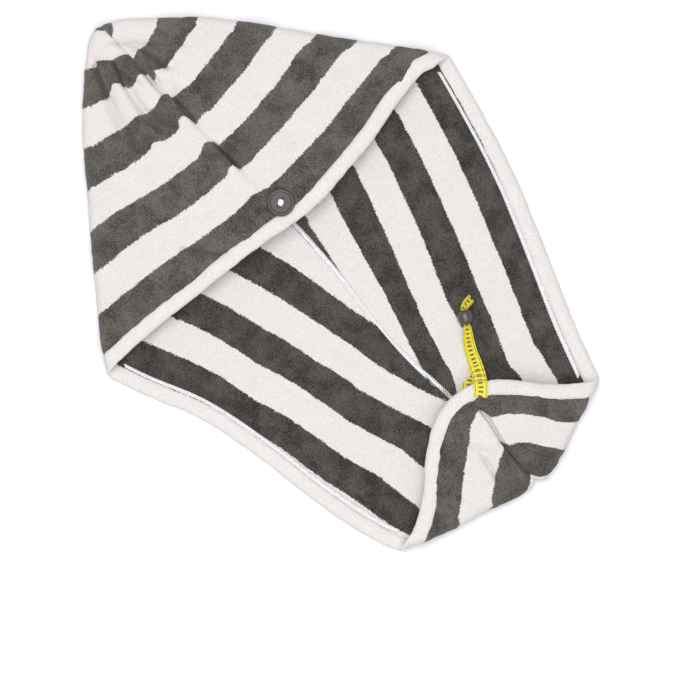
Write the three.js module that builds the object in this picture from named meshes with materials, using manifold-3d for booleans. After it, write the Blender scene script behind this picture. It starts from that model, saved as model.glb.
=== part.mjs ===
import * as THREE from 'three';
import { mergeVertices } from 'three/addons/utils/BufferGeometryUtils.js';
import Module from 'manifold-3d';

const wasm = await Module();
wasm.setup();

// A hair turban towel lying flat with its mouth up, in millimetres. X runs along the centre seam
// from the hood's tip to the tail's tip, Y to the wearer's right and Z up. The hood end and the
// tail end are folded over the mouth, so each side panel is one sheet with two rounded folds.

// Outline, measured from the seam's end at the hood's tip
const turbanLength = 564; // hood tip to tail tip along the seam
const hoodDepth = 241.5; // hood tip to the middle of the hem under the button
const tailDepth = 97; // tail tip to the middle of the hem at the loop
const leftHoodBack = 218.5; // hood tip back to the left hood corner
const leftHoodReach = 211; // seam out to the left hood corner
const rightHoodBack = 234.5;
const rightHoodReach = 195;
const leftTailBack = 39; // tail tip back to the left tail corner
const leftTailReach = 120;
const rightTailBack = 21.6;
const rightTailReach = 95;
const seamSway = 14; // how far the seam drifts sideways from hood tip to tail tip

// Cloth
const wall = 3; // plush cloth
const foldHeight = 12; // between the middles of the two layers at a fold
const foldRound = 6.5; // how far a fold reaches out past its straight layers
const hoodRise = 10; // crown of the hood above its folds
const tailRise = 5; // crown of the tail pocket above its folds
const hemWidth = 14; // rolled hem, across
const hemHeight = 7; // rolled hem, through
const hemTuck = 2.5; // how far the cloth runs into the hem's outline before it is cut back
const hemRamp = 16; // cloth lifting from the surface to the middle of the hem
const clearance = 0.3; // between touching pieces
const outwardBlend = 0.25; // share of a fold over which it turns square to its chord

// Seam allowance on the inside
const overlockWidth = 4.6;
const overlockHeight = 1.6;
const overlockStart = 0.05; // share of the way from the hood's fold to the tail's
const overlockEnd = 0.95;

// Button
const buttonDiameter = 24.5;
const buttonThickness = 3.2;
const rimWidth = 3;
const rimHeight = 0.9;
const holeDiameter = 3.2;
const holeSpacing = 4.8;
const buttonBack = 13.6; // hem's middle back to the button's centre
const buttonAside = 5; // seam across to the button's centre
const threadTurn = -68; // degrees from X to the line of the two holes
const threadWidth = 1.8;
const threadHeight = 1.1;

// Loop of ribbon with its bead
const ribbonWidth = 12.5;
const ribbonThickness = 1;
const loopAside = 12.5; // seam to the ribbon, along the hem
const loopLength = 69; // hem's middle to the bead's centre
const loopAngle = 35; // degrees between the ribbon and the seam
const ribbonLift = 5; // how far the ribbon bows up off the cloth
const neckShare = 0.36; // ribbon gathered to this share of its width in the bead
const beadDiameter = 13.6;
const beadLength = 12.4;
const beadBore = 6.4;
const neckLead = 1.5; // straight neck of the ribbon outside each end of the bead
const backShort = 5; // the back run ends this far from the bead, under the front run
const backRaise = 2; // height of that end above the cloth
const tabLength = 6; // ribbon past the bead
const tabFlare = 1.04; // share of the ribbon's width at the tab's end
const tabSway = 1.2; // sideways drift of the tab's end

// Mesh steps
const acrossSteps = 18;
const hoodSteps = 14;
const foldSteps = 5;
const underSteps = 14;
const tailSteps = 6;
const hemTopSteps = 10;
const hemSideSteps = 14;
const hemTailSteps = 8;
const hemSides = 12;
const overlockSides = 6;
const buttonSides = 28;
const holeSides = 12;
const beadSides = 16;
const beadRings = 6;
const ribbonSteps = 36;

// Folds and hems between two corners. at: share of the chord, bulge: share of the chord's length,
// outwards for folds and towards the mouth's middle for hems
const leftShape = {
  back: leftHoodBack,
  reach: -leftHoodReach,
  tailBack: leftTailBack,
  tailReach: -leftTailReach,
  hoodFold: [
    { at: 0, bulge: 0 }, { at: 0.012, bulge: 0.016 }, { at: 0.037, bulge: 0.032 },
    { at: 0.095, bulge: 0.043 }, { at: 0.153, bulge: 0.052 }, { at: 0.24, bulge: 0.059 },
    { at: 0.385, bulge: 0.056 }, { at: 0.53, bulge: 0.049 }, { at: 0.7, bulge: 0.038 },
    { at: 0.84, bulge: 0.029 }, { at: 0.94, bulge: 0.019 }, { at: 1, bulge: 0 },
  ],
  tailFold: [
    { at: 0, bulge: 0 }, { at: 0.06, bulge: 0.047 }, { at: 0.12, bulge: 0.071 },
    { at: 0.2, bulge: 0.076 }, { at: 0.385, bulge: 0.057 }, { at: 0.494, bulge: 0.04 },
    { at: 0.697, bulge: 0.051 }, { at: 0.887, bulge: 0.036 }, { at: 1, bulge: 0 },
  ],
  hoodHem: [
    { at: 0, bulge: 0 }, { at: 0.2, bulge: -0.011 }, { at: 0.5, bulge: -0.013 },
    { at: 0.72, bulge: -0.016 }, { at: 1, bulge: 0 },
  ],
  underHem: [
    { at: 0, bulge: 0 }, { at: 0.1, bulge: 0.009 }, { at: 0.29, bulge: 0.036 },
    { at: 0.5, bulge: 0.028 }, { at: 0.72, bulge: 0.002 }, { at: 0.86, bulge: -0.007 },
    { at: 0.95, bulge: -0.006 }, { at: 1, bulge: 0 },
  ],
  tailHem: [
    { at: 0, bulge: 0 }, { at: 0.1, bulge: -0.005 }, { at: 0.29, bulge: 0.02 },
    { at: 0.53, bulge: 0.083 }, { at: 0.73, bulge: 0.104 }, { at: 0.89, bulge: 0.07 },
    { at: 1, bulge: 0 },
  ],
};
const rightShape = {
  back: rightHoodBack,
  reach: rightHoodReach,
  tailBack: rightTailBack,
  tailReach: rightTailReach,
  hoodFold: [
    { at: 0, bulge: 0 }, { at: 0.039, bulge: 0.017 }, { at: 0.081, bulge: 0.029 },
    { at: 0.167, bulge: 0.041 }, { at: 0.282, bulge: 0.052 }, { at: 0.397, bulge: 0.049 },
    { at: 0.513, bulge: 0.042 }, { at: 0.629, bulge: 0.034 }, { at: 0.745, bulge: 0.027 },
    { at: 0.861, bulge: 0.02 }, { at: 0.95, bulge: 0.013 }, { at: 1, bulge: 0 },
  ],
  tailFold: [
    { at: 0, bulge: 0 }, { at: 0.05, bulge: 0.07 }, { at: 0.134, bulge: 0.096 },
    { at: 0.272, bulge: 0.111 }, { at: 0.4, bulge: 0.142 }, { at: 0.546, bulge: 0.127 },
    { at: 0.683, bulge: 0.093 }, { at: 0.829, bulge: 0.07 }, { at: 1, bulge: 0 },
  ],
  hoodHem: [
    { at: 0, bulge: 0 }, { at: 0.06, bulge: -0.024 }, { at: 0.156, bulge: -0.022 },
    { at: 0.295, bulge: -0.01 }, { at: 0.47, bulge: 0.015 }, { at: 0.66, bulge: 0.022 },
    { at: 0.8, bulge: 0.026 }, { at: 0.93, bulge: 0.016 }, { at: 1, bulge: 0 },
  ],
  underHem: [
    { at: 0, bulge: 0 }, { at: 0.15, bulge: -0.013 }, { at: 0.28, bulge: -0.021 },
    { at: 0.41, bulge: -0.023 }, { at: 0.54, bulge: -0.018 }, { at: 0.67, bulge: -0.011 },
    { at: 0.82, bulge: -0.002 }, { at: 1, bulge: 0 },
  ],
  tailHem: [
    { at: 0, bulge: 0 }, { at: 0.13, bulge: -0.005 }, { at: 0.31, bulge: 0 },
    { at: 0.54, bulge: 0.038 }, { at: 0.74, bulge: 0.055 }, { at: 0.9, bulge: 0.038 },
    { at: 1, bulge: 0 },
  ],
};

// The seam's drift, shared by both panels. at: share of the way, sway: share of seamSway
const underSeamRows = [
  { at: 0, sway: 1 }, { at: 0.43, sway: 0.86 }, { at: 0.56, sway: 0.45 }, { at: 0.66, sway: 0 },
  { at: 0.73, sway: -0.2 }, { at: 0.85, sway: -0.1 }, { at: 1, sway: 0 },
];
const hoodSeamRows = [
  { at: 0, sway: 1 }, { at: 0.2, sway: 0.93 }, { at: 0.6, sway: 0.8 }, { at: 1, sway: 0.72 },
];
const tailSeamRows = [
  { at: 0, sway: 0 }, { at: 0.45, sway: 0.16 }, { at: 0.8, sway: 0.66 }, { at: 1, sway: 0.8 },
];

// Crown of a folded-over layer above its fold. at: share of the way from the fold to the end of
// the seam; seam, middle, hem: shares of the layer's rise on those lines
const crownRows = [
  { at: 0, seam: 0, middle: 0, hem: 0 }, { at: 0.1, seam: 0.34, middle: 0.3, hem: 0.12 },
  { at: 0.25, seam: 0.66, middle: 0.66, hem: 0.3 }, { at: 0.45, seam: 0.86, middle: 0.9, hem: 0.52 },
  { at: 0.7, seam: 0.97, middle: 0.99, hem: 0.8 }, { at: 1, seam: 1, middle: 1, hem: 1 },
];

// Troughs of the top layers: gathers pulled towards the hood's tip, then creases of the tail. X is
// a share of the turban's length and Y of the left hood reach, from the seam's end at the tip;
// depth and spread are shares of the hood's rise
const troughRows = [
  { fromX: 0.034, fromY: -0.12, toX: 0.137, toY: -0.24, depth: 0.36, spread: 0.75 },
  { fromX: 0.053, fromY: -0.07, toX: 0.158, toY: -0.127, depth: 0.42, spread: 0.7 },
  { fromX: 0.07, fromY: 0.04, toX: 0.167, toY: 0, depth: 0.45, spread: 0.75 },
  { fromX: 0.07, fromY: 0.11, toX: 0.124, toY: 0.08, depth: 0.34, spread: 0.65 },
  { fromX: 0.158, fromY: -0.008, toX: 0.216, toY: -0.006, depth: 0.3, spread: 0.7 },
  { fromX: 0.264, fromY: -0.02, toX: 0.316, toY: -0.01, depth: 0.22, spread: 0.7 },
  { fromX: 0.036, fromY: -0.014, toX: 0.076, toY: 0.08, depth: 0.3, spread: 0.6 },
  { fromX: 0.342, fromY: -0.427, toX: 0.398, toY: -0.32, depth: 0.2, spread: 0.8 },
  { fromX: 0.86, fromY: -0.02, toX: 0.985, toY: -0.06, depth: 0.26, spread: 0.6 },
  { fromX: 0.955, fromY: -0.17, toX: 0.99, toY: -0.11, depth: 0.26, spread: 0.6 },
];

// The ribbon's two runs between the hem and the bead. out: share of the way to the bead's centre,
// aside: share of the ribbon's width to the left of the straight way, lift: share of ribbonLift
// above the cloth, width: share of the ribbon's width
const frontRunRows = [
  { out: 0.3, aside: 0.05, lift: 1, width: 0.98 }, { out: 0.55, aside: 0.13, lift: 0.55, width: 0.9 },
  { out: 0.75, aside: 0.1, lift: 1.16, width: 0.75 },
];
const backRunRows = [
  { out: -0.1, aside: 0.88, lift: 0, width: 1 }, { out: 0.14, aside: 0.68, lift: 0, width: 1 },
  { out: 0.42, aside: 0.32, lift: 0, width: 0.9 }, { out: 0.66, aside: 0.08, lift: 0, width: 0.7 },
];
const hemCrossShares = [-0.9, -0.45, 0, 0.45, 0.9]; // of half the hem, where the ribbon is fitted
const beadFullness = 0.6; // under 1 is fuller than a round bead
const seatRings = [0, 0.35, 0.7, 0.9, 1.02]; // shares of a disc's radius where its seat is tried

const clamp = THREE.MathUtils.clamp;
const smooth = (share) => THREE.MathUtils.smoothstep(share, 0, 1);

// A smooth curve through one column of a table
function follow(rows, column) {
  const slopes = rows.map((row, i) => {
    const before = rows[Math.max(i - 1, 0)];
    const after = rows[Math.min(i + 1, rows.length - 1)];
    return (after[column] - before[column]) / (after.at - before.at);
  });
  return (at) => {
    let i = 0;
    while (i < rows.length - 2 && at > rows[i + 1].at) i += 1;
    const span = rows[i + 1].at - rows[i].at;
    const u = clamp((at - rows[i].at) / span, 0, 1);
    const start = rows[i][column] * (1 + 2 * u) * (1 - u) ** 2;
    const end = rows[i + 1][column] * u * u * (3 - 2 * u);
    return start + end + span * (slopes[i] * u * (1 - u) ** 2 + slopes[i + 1] * u * u * (u - 1));
  };
}

// A plan curve from one point to another that bulges to its left by a table's shares
function bulging(from, to, rows, turn) {
  const bulge = follow(rows, 'bulge');
  const chord = to.clone().sub(from);
  const leftward = new THREE.Vector2(-chord.y, chord.x).multiplyScalar(turn);
  return (at) => from.clone().addScaledVector(chord, at).addScaledVector(leftward, bulge(at));
}

// Unit direction square to a chord, to its left or right
function squareTo(from, to, turn) {
  return new THREE.Vector2(from.y - to.y, to.x - from.x).multiplyScalar(turn).normalize();
}

// How far the hem runs on along a fold as it turns over, as a share of the fold's chord
function hemSkew(tip, corner, hemEnd) {
  const chord = corner.clone().sub(tip);
  const hem = hemEnd.clone().sub(corner);
  const back = -chord.dot(hem) / (chord.length() * hem.length());
  const overLength = Math.PI * Math.hypot(foldRound, foldHeight / 2) / Math.SQRT2;
  return overLength * back / Math.sqrt(1 - back * back) / chord.length();
}

// A plan curve along the seam, straight along X and swaying in Y
function seamLine(fromX, toX, rows) {
  const sway = follow(rows, 'sway');
  return (at) => new THREE.Vector2(THREE.MathUtils.lerp(fromX, toX, at), seamSway * sway(at));
}

// Plan point of a four-sided patch blended from its four border curves
function patch(low, high, start, end, along, across) {
  const point = low(along).multiplyScalar(1 - across).addScaledVector(high(along), across);
  point.addScaledVector(start(across), 1 - along).addScaledVector(end(across), along);
  point.addScaledVector(low(0), -(1 - along) * (1 - across)).addScaledVector(low(1), -along * (1 - across));
  return point.addScaledVector(high(0), -(1 - along) * across).addScaledVector(high(1), -along * across);
}

const crown = {
  seam: follow(crownRows, 'seam'),
  middle: follow(crownRows, 'middle'),
  hem: follow(crownRows, 'hem'),
};

// Share of the rise at a place on a folded-over layer: a parabola through seam, middle and hem
function crownShare(along, across) {
  const seam = crown.seam(along) * (1 - across) * (1 - 2 * across);
  const middle = crown.middle(along) * 4 * across * (1 - across);
  return seam + middle + crown.hem(along) * across * (2 * across - 1);
}

// Depth of the troughs at a plan point, each soft across its line
function troughDepth(plan) {
  return troughRows.reduce((depth, row) => {
    const from = new THREE.Vector2(row.fromX * turbanLength, seamSway + row.fromY * leftHoodReach);
    const to = new THREE.Vector2(row.toX * turbanLength, seamSway + row.toY * leftHoodReach);
    const line = to.sub(from);
    const way = plan.clone().sub(from);
    const share = clamp(way.dot(line) / line.lengthSq(), 0, 1);
    const off = way.addScaledVector(line, -share).length() / (row.spread * hoodRise);
    return depth + row.depth * hoodRise * Math.exp(-off * off);
  }, 0);
}

// One side panel's middle surface. girth runs 0 to 5: hood top from the button to its fold, the
// fold, the layer on the ground, the tail's fold, and the tail's top to the loop; across runs from
// the seam (0) to the hem's middle (1)
function panelSurface(shape, turn) {
  const hoodTip = new THREE.Vector2(0, seamSway);
  const tailTip = new THREE.Vector2(turbanLength, 0);
  const hoodCorner = new THREE.Vector2(shape.back, seamSway + shape.reach);
  const tailCorner = new THREE.Vector2(turbanLength - shape.tailBack, shape.tailReach);
  const foldEdge = {
    hood: bulging(hoodTip, hoodCorner, shape.hoodFold, turn),
    tail: bulging(tailTip, tailCorner, shape.tailFold, -turn),
  };
  const straightOut = { hood: new THREE.Vector2(-1, 0), tail: new THREE.Vector2(1, 0) };
  const chordOut = {
    hood: squareTo(hoodTip, hoodCorner, turn),
    tail: squareTo(tailTip, tailCorner, -turn),
  };

  const button = new THREE.Vector2(hoodDepth, seamSway * hoodSeamRows.at(-1).sway);
  const loop = new THREE.Vector2(turbanLength - tailDepth, seamSway * tailSeamRows.at(-1).sway);

  // Outward direction of a fold, along the seam at the tip and square to the fold further out
  const foldOut = (end, across) => straightOut[end].clone()
    .lerp(chordOut[end], smooth(across / outwardBlend)).normalize();
  // The hem crosses a fold aslant, so it runs on along the fold while it turns over
  const skew = {
    hood: hemSkew(hoodTip, hoodCorner, button),
    tail: hemSkew(tailTip, tailCorner, loop),
  };
  // Where a fold's round part leaves the ground layer (turned 0) or the top layer (turned 1)
  const foldRoot = (end, across, turned) => foldEdge[end](across * (1 + skew[end] * (0.5 - turned)))
    .addScaledVector(foldOut(end, across), -(wall / 2 + foldRound));

  const hoodSeam = seamLine(foldRoot('hood', 0, 1).x, button.x, hoodSeamRows);
  const underSeam = seamLine(foldRoot('hood', 0, 0).x, foldRoot('tail', 0, 0).x, underSeamRows);
  const tailSeam = seamLine(foldRoot('tail', 0, 1).x, loop.x, tailSeamRows);
  const hoodHem = bulging(foldRoot('hood', 1, 1), button, shape.hoodHem, turn);
  const underHem = bulging(foldRoot('hood', 1, 0), foldRoot('tail', 1, 0), shape.underHem, -turn);
  const tailHem = bulging(foldRoot('tail', 1, 1), loop, shape.tailHem, -turn);

  const rootLine = (end, turned) => (share) => foldRoot(end, share, turned);
  const hoodPlan = (along, across) => patch(
    hoodSeam, hoodHem, rootLine('hood', 1), () => button.clone(), along, across);
  const tailPlan = (along, across) => patch(
    tailSeam, tailHem, rootLine('tail', 1), () => loop.clone(), along, across);
  const underPlan = (along, across) => patch(
    underSeam, underHem, rootLine('hood', 0), rootLine('tail', 0), along, across);

  // Height of the ground layer, lifting to the middle of the hem near its edge
  const underHeight = (across, reach) => {
    const inside = (1 - across) * reach - hemWidth / 2;
    return wall / 2 + (hemHeight - wall) / 2 * (1 - smooth(inside / hemRamp));
  };

  // The seam's two sides stay half a clearance from its line
  const raise = (plan, height, across) => new THREE.Vector3(
    plan.x, plan.y + turn * (clearance / 2) * (1 - across), height);

  const topPoint = (end, along, across) => {
    const plan = end === 'hood' ? hoodPlan(along, across) : tailPlan(along, across);
    const rise = end === 'hood' ? hoodRise : tailRise;
    const reach = Math.abs(end === 'hood' ? shape.reach : shape.tailReach);
    const base = THREE.MathUtils.lerp(underHeight(across, reach), hemHeight / 2, smooth(along));
    const height = base + foldHeight + rise * crownShare(along, across);
    return raise(plan, height - troughDepth(plan), across);
  };
  const foldPoint = (end, share, across) => {
    const reach = Math.abs(end === 'hood' ? shape.reach : shape.tailReach);
    const angle = share * Math.PI;
    const plan = foldRoot(end, across, share)
      .addScaledVector(foldOut(end, across), foldRound * Math.sin(angle));
    const height = underHeight(across, reach) + foldHeight * (1 - Math.cos(angle)) / 2;
    return raise(plan, height - troughDepth(plan) * smooth(share), across);
  };
  const underPoint = (along, across) => {
    const reach = Math.abs(THREE.MathUtils.lerp(shape.reach, shape.tailReach, along));
    return raise(underPlan(along, across), underHeight(across, reach), across);
  };

  return (girth, across) => {
    if (girth < 1) return topPoint('hood', 1 - girth, across);
    if (girth < 2) return foldPoint('hood', 2 - girth, across);
    if (girth <= 3) return underPoint(girth - 2, across);
    if (girth <= 4) return foldPoint('tail', girth - 3, across);
    return topPoint('tail', girth - 4, across);
  };
}

const leftSurface = panelSurface(leftShape, -1);
const rightSurface = panelSurface(rightShape, 1);
const girthEnd = 5;
const step = 1e-3;
const closeEnough = 1e-9;
const hemStart = 0.02; // girth nearest to the button or the loop at which directions are sound

// At the hem's middle: direction along the hem, direction out of the sheet and the sheet's reach
function hemFrame(surface, girth) {
  const at = clamp(girth, hemStart, girthEnd - hemStart);
  const along = surface(at + step, 1).sub(surface(at - step, 1)).normalize();
  const out = surface(at, 1).sub(surface(at, 1 - step)).divideScalar(step);
  out.addScaledVector(along, -out.dot(along));
  const reach = out.length();
  return { along, out: out.normalize(), reach };
}

// Share across at which a panel's cloth stops, inside the rolled hem that is then cut from it
const edgeShare = (surface, girth) => 1 - (hemWidth / 2 - hemTuck) / hemFrame(surface, girth).reach;

// Girth of the panel's point under the button or the loop, between a place past it and one inside
function panelPoint(surface, past, inside) {
  let low = past;
  let high = inside;
  while (Math.abs(high - low) > closeEnough) {
    const middle = (low + high) / 2;
    if (edgeShare(surface, middle) > 0) high = middle;
    else low = middle;
  }
  return high;
}

// Closed mesh through a row of rings with as many points each, its faces turned outwards
function skin(rings, closed) {
  const count = rings[0].length;
  const triangles = [];
  const spans = closed ? rings.length : rings.length - 1;
  for (let i = 0; i < spans; i += 1) {
    const here = i * count;
    const next = ((i + 1) % rings.length) * count;
    for (let j = 0; j < count; j += 1) {
      const k = (j + 1) % count;
      triangles.push([here + j, next + j, next + k], [here + j, next + k, here + k]);
    }
  }
  if (!closed) {
    const last = (rings.length - 1) * count;
    for (let j = 1; j < count - 1; j += 1) {
      triangles.push([0, j, j + 1], [last, last + j + 1, last + j]);
    }
  }
  const geometry = new THREE.BufferGeometry();
  geometry.setAttribute('position',
    new THREE.Float32BufferAttribute(rings.flat().flatMap((point) => point.toArray()), 3));
  geometry.setIndex(triangles.flat());
  return facesOut(geometry);
}

// Merges a mesh's shared corners, drops flat triangles and turns its faces outwards
function facesOut(geometry) {
  const merged = mergeVertices(geometry, 1e-4);
  const corner = new THREE.Vector3();
  const corners = (i) => corner.clone().fromBufferAttribute(merged.attributes.position, i);
  const kept = [];
  let volume = 0;
  for (let i = 0; i < merged.index.count; i += 3) {
    const [a, b, c] = [0, 1, 2].map((k) => merged.index.getX(i + k));
    if (a === b || b === c || c === a) continue;
    kept.push([a, b, c]);
    volume += corners(a).dot(corners(b).cross(corners(c)));
  }
  merged.setIndex(kept.flatMap(([a, b, c]) => (volume < 0 ? [a, c, b] : [a, b, c])));
  return merged;
}

// Even steps from one value up to, and without, another
const steps = (from, to, count) => Array.from(
  { length: count }, (_, i) => from + (to - from) * i / count);

// A side panel: its middle surface given the cloth's thickness, ring by ring from button to loop,
// and cut back from the rolled hem
function panelGeometry(surface, turn) {
  const first = panelPoint(surface, hemStart, 0.5);
  const last = panelPoint(surface, girthEnd - hemStart, girthEnd - 0.5);
  const girths = [
    ...steps(first, 1, hoodSteps), ...steps(1, 2, foldSteps), ...steps(2, 3, underSteps),
    ...steps(3, 4, foldSteps), ...steps(4, last, tailSteps), last,
  ];
  const rings = girths.map((girth, i) => {
    const share = Math.max(edgeShare(surface, girth), 0);
    const sound = i === 0 ? girths[1] : girth;
    const steady = i === girths.length - 1 ? girths.at(-2) : sound;
    const upper = [];
    const lower = [];
    for (let j = 0; j <= acrossSteps; j += 1) {
      const across = share * j / acrossSteps;
      const middle = surface(girth, across);
      const normal = sheetNormal(surface, steady, across, turn);
      upper.push(middle.clone().addScaledVector(normal, wall / 2));
      lower.push(middle.clone().addScaledVector(normal, -wall / 2));
    }
    return [...upper, ...lower.reverse()];
  });
  return meshOf(solid(skin(rings, false)).subtract(solid(hemGeometry(clearance))));
}

// Unit normal of a panel; beside the seam it keeps to the seam's own plane
function sheetNormal(surface, girth, across, turn) {
  const back = Math.floor(girth) === Math.floor(girth - step) ? step : 0;
  const along = surface(girth + step, across).sub(surface(girth - back, across));
  const start = Math.max(across - step, 0);
  const outwards = surface(girth, across + step).sub(surface(girth, start));
  const normal = along.cross(outwards).multiplyScalar(turn);
  if (across === 0) normal.y = 0;
  return normal.normalize();
}

const matter = (color, roughness) => new THREE.MeshStandardMaterial({ color, roughness, metalness: 0 });
const stripedPlush = matter(0x8d8a85, 0.95);
const whitePlush = matter(0xf0ebe8, 0.95);
const overlockThread = matter(0xf5f4f6, 0.6);
const buttonResin = matter(0x574e4d, 0.45);
const yellowRibbon = matter(0xe9dc49, 0.7);
const beadPlastic = matter(0x5d585a, 0.4);

function piece(name, geometry, material) {
  const mesh = new THREE.Mesh(geometry, material);
  mesh.name = name;
  return mesh;
}

// Rolled hem: one closed tube round the mouth, down the left side and back up the right, which
// can be grown by a clearance
function hemGeometry(grown) {
  const oneSide = [
    ...steps(0, 1, hemTopSteps), ...steps(1, 2, foldSteps), ...steps(2, 3, hemSideSteps),
    ...steps(3, 4, foldSteps), ...steps(4, girthEnd, hemTailSteps),
  ];
  const stations = [
    ...oneSide.map((girth) => ({ surface: leftSurface, girth, way: 1 })),
    { surface: rightSurface, girth: girthEnd, way: -1 },
    ...oneSide.slice(1).reverse().map((girth) => ({ surface: rightSurface, girth, way: -1 })),
  ];
  const rings = stations.map(({ surface, girth, way }) => {
    const centre = surface(girth, 1);
    const { along, out } = hemFrame(surface, girth);
    const through = out.clone().cross(along).multiplyScalar(way);
    return steps(0, 2 * Math.PI, hemSides).map((angle) => centre.clone()
      .addScaledVector(out, (hemWidth / 2 + grown) * Math.cos(angle))
      .addScaledVector(through, (hemHeight / 2 + grown) * Math.sin(angle)));
  });
  return skin(rings, true);
}
const leftPanel = piece('left_panel', panelGeometry(leftSurface, -1), stripedPlush);
const rightPanel = piece('right_panel', panelGeometry(rightSurface, 1), stripedPlush);
const rolledHem = piece('rolled_hem', hemGeometry(0), whitePlush);

// Seam allowance bound with thread, lying on the inside along the right of the centre seam
function overlockGeometry() {
  const rings = [...steps(overlockStart, overlockEnd, underSteps), overlockEnd].map((share) => {
    const edge = rightSurface(2 + share, 0);
    const raised = wall / 2 + clearance + overlockHeight / 2;
    const centre = edge.add(new THREE.Vector3(0, overlockWidth / 2, raised));
    return steps(0, 2 * Math.PI, overlockSides).map((angle) => centre.clone().add(new THREE.Vector3(
      0, overlockWidth / 2 * Math.cos(angle), overlockHeight / 2 * Math.sin(angle))));
  });
  return skin(rings, false);
}
const seamOverlock = piece('seam_overlock', overlockGeometry(), overlockThread);

// Height of the topmost surface at a plan place
function topHeight(meshes, x, y) {
  const above = new THREE.Vector3(x, y, turbanLength);
  const hits = new THREE.Raycaster(above, new THREE.Vector3(0, 0, -1)).intersectObjects(meshes);
  return hits.length ? hits[0].point.z : 0;
}

// Lays a flat disc on the cloth: tilted as the cloth is, and clear of it everywhere below
function restingDisc(x, y, radius) {
  const under = [leftPanel, rightPanel, rolledHem];
  const height = (dx, dy) => topHeight(under, x + dx, y + dy);
  const slopeX = (height(radius, 0) - height(-radius, 0)) / (2 * radius);
  const slopeY = (height(0, radius) - height(0, -radius)) / (2 * radius);
  let base = -Infinity;
  for (const ring of seatRings) {
    for (const angle of steps(0, 2 * Math.PI, buttonSides)) {
      const dx = radius * ring * Math.cos(angle);
      const dy = radius * ring * Math.sin(angle);
      base = Math.max(base, height(dx, dy) - slopeX * dx - slopeY * dy);
    }
  }
  const seat = new THREE.Group();
  const normal = new THREE.Vector3(-slopeX, -slopeY, 1).normalize();
  seat.quaternion.setFromUnitVectors(new THREE.Vector3(0, 0, 1), normal);
  seat.position.set(x, y, base + clearance / normal.z);
  return seat;
}

// A closed mesh as a solid, and a solid as a mesh again
function solid(geometry) {
  const bare = geometry.clone();
  bare.deleteAttribute('normal');
  bare.deleteAttribute('uv');
  const merged = facesOut(bare);
  return new wasm.Manifold(new wasm.Mesh({
    numProp: 3,
    vertProperties: new Float32Array(merged.attributes.position.array),
    triVerts: new Uint32Array(merged.index.array),
  }));
}
function meshOf(body) {
  const { vertProperties, triVerts } = body.getMesh();
  const geometry = new THREE.BufferGeometry();
  geometry.setAttribute('position', new THREE.BufferAttribute(new Float32Array(vertProperties), 3));
  geometry.setIndex(new THREE.BufferAttribute(new Uint32Array(triVerts), 1));
  return geometry;
}

// Button with a raised rim and two sewing holes, its underside on z = 0
function buttonGeometry() {
  const radius = buttonDiameter / 2;
  const bevel = rimHeight / 2;
  const outline = [
    [0, 0], [radius - bevel, 0], [radius, bevel], [radius, buttonThickness],
    [radius - bevel, buttonThickness + rimHeight],
    [radius - rimWidth + bevel, buttonThickness + rimHeight],
    [radius - rimWidth, buttonThickness], [0, buttonThickness],
  ].map(([x, y]) => new THREE.Vector2(x, y));
  let body = solid(new THREE.LatheGeometry(outline, buttonSides).rotateX(Math.PI / 2));
  for (const way of [-1, 1]) {
    const hole = new THREE.CylinderGeometry(
      holeDiameter / 2, holeDiameter / 2, 3 * buttonThickness, holeSides);
    hole.rotateX(Math.PI / 2).translate(way * holeSpacing / 2, 0, buttonThickness / 2);
    body = body.subtract(solid(hole));
  }
  return meshOf(body);
}

// Thread through both holes, as one staple
function threadGeometry() {
  const half = (holeSpacing + threadWidth) / 2;
  const inner = (holeSpacing - threadWidth) / 2;
  const top = buttonThickness + clearance;
  const outline = [
    [-half, 0], [-inner, 0], [-inner, top], [inner, top],
    [inner, 0], [half, 0], [half, top + threadHeight], [-half, top + threadHeight],
  ].map(([x, y]) => new THREE.Vector2(x, y));
  const settings = { depth: threadWidth, bevelEnabled: false };
  const staple = new THREE.ExtrudeGeometry(new THREE.Shape(outline), settings);
  return meshOf(solid(staple.translate(0, 0, -threadWidth / 2).rotateX(Math.PI / 2)));
}

const buttonSeat = restingDisc(
  hoodDepth - buttonBack, seamSway * hoodSeamRows.at(-1).sway + buttonAside, buttonDiameter / 2);
const buttonTurned = new THREE.Group();
buttonTurned.rotation.z = THREE.MathUtils.degToRad(threadTurn);
buttonTurned.add(piece('button', buttonGeometry(), buttonResin));
buttonTurned.add(piece('button_thread', threadGeometry(), overlockThread));
buttonSeat.add(buttonTurned);

// Place on the hem, along the right of the seam, where the ribbon crosses it
function hemPlace(aside) {
  const loop = rightSurface(girthEnd, 1);
  let girth = girthEnd;
  while (girth > 4 && rightSurface(girth, 1).distanceTo(loop) < aside) girth -= step;
  return rightSurface(girth, 1);
}

// Ribbon stations from rows: out: mm from the hem's middle towards the bead, aside: mm to the
// left of that line, up: height, width: share of the ribbon's width
function ribbonGeometry(start, heading, rows) {
  const sideways = new THREE.Vector3(-heading.y, heading.x, 0);
  const middle = rows.map((row) => new THREE.Vector3(start.x, start.y, 0)
    .addScaledVector(heading, row.out).addScaledVector(sideways, row.aside)
    .setZ(row.up));
  const curve = new THREE.CatmullRomCurve3(middle, false, 'centripetal');
  const widthRows = rows.map((row, i) => ({ at: i / (rows.length - 1), width: row.width }));
  const widths = follow(widthRows, 'width');
  const rings = Array.from({ length: ribbonSteps + 1 }, (_, i) => {
    const share = i / ribbonSteps;
    const centre = curve.getPoint(share);
    const along = curve.getTangent(share);
    const across = new THREE.Vector3(-along.y, along.x, 0).normalize();
    const through = along.clone().cross(across);
    const half = ribbonWidth / 2 * widths(share);
    return [[-1, -1], [1, -1], [1, 1], [-1, 1]].map(([a, b]) => centre.clone()
      .addScaledVector(across, a * half).addScaledVector(through, b * ribbonThickness / 2));
  });
  return skin(rings, false);
}

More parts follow.
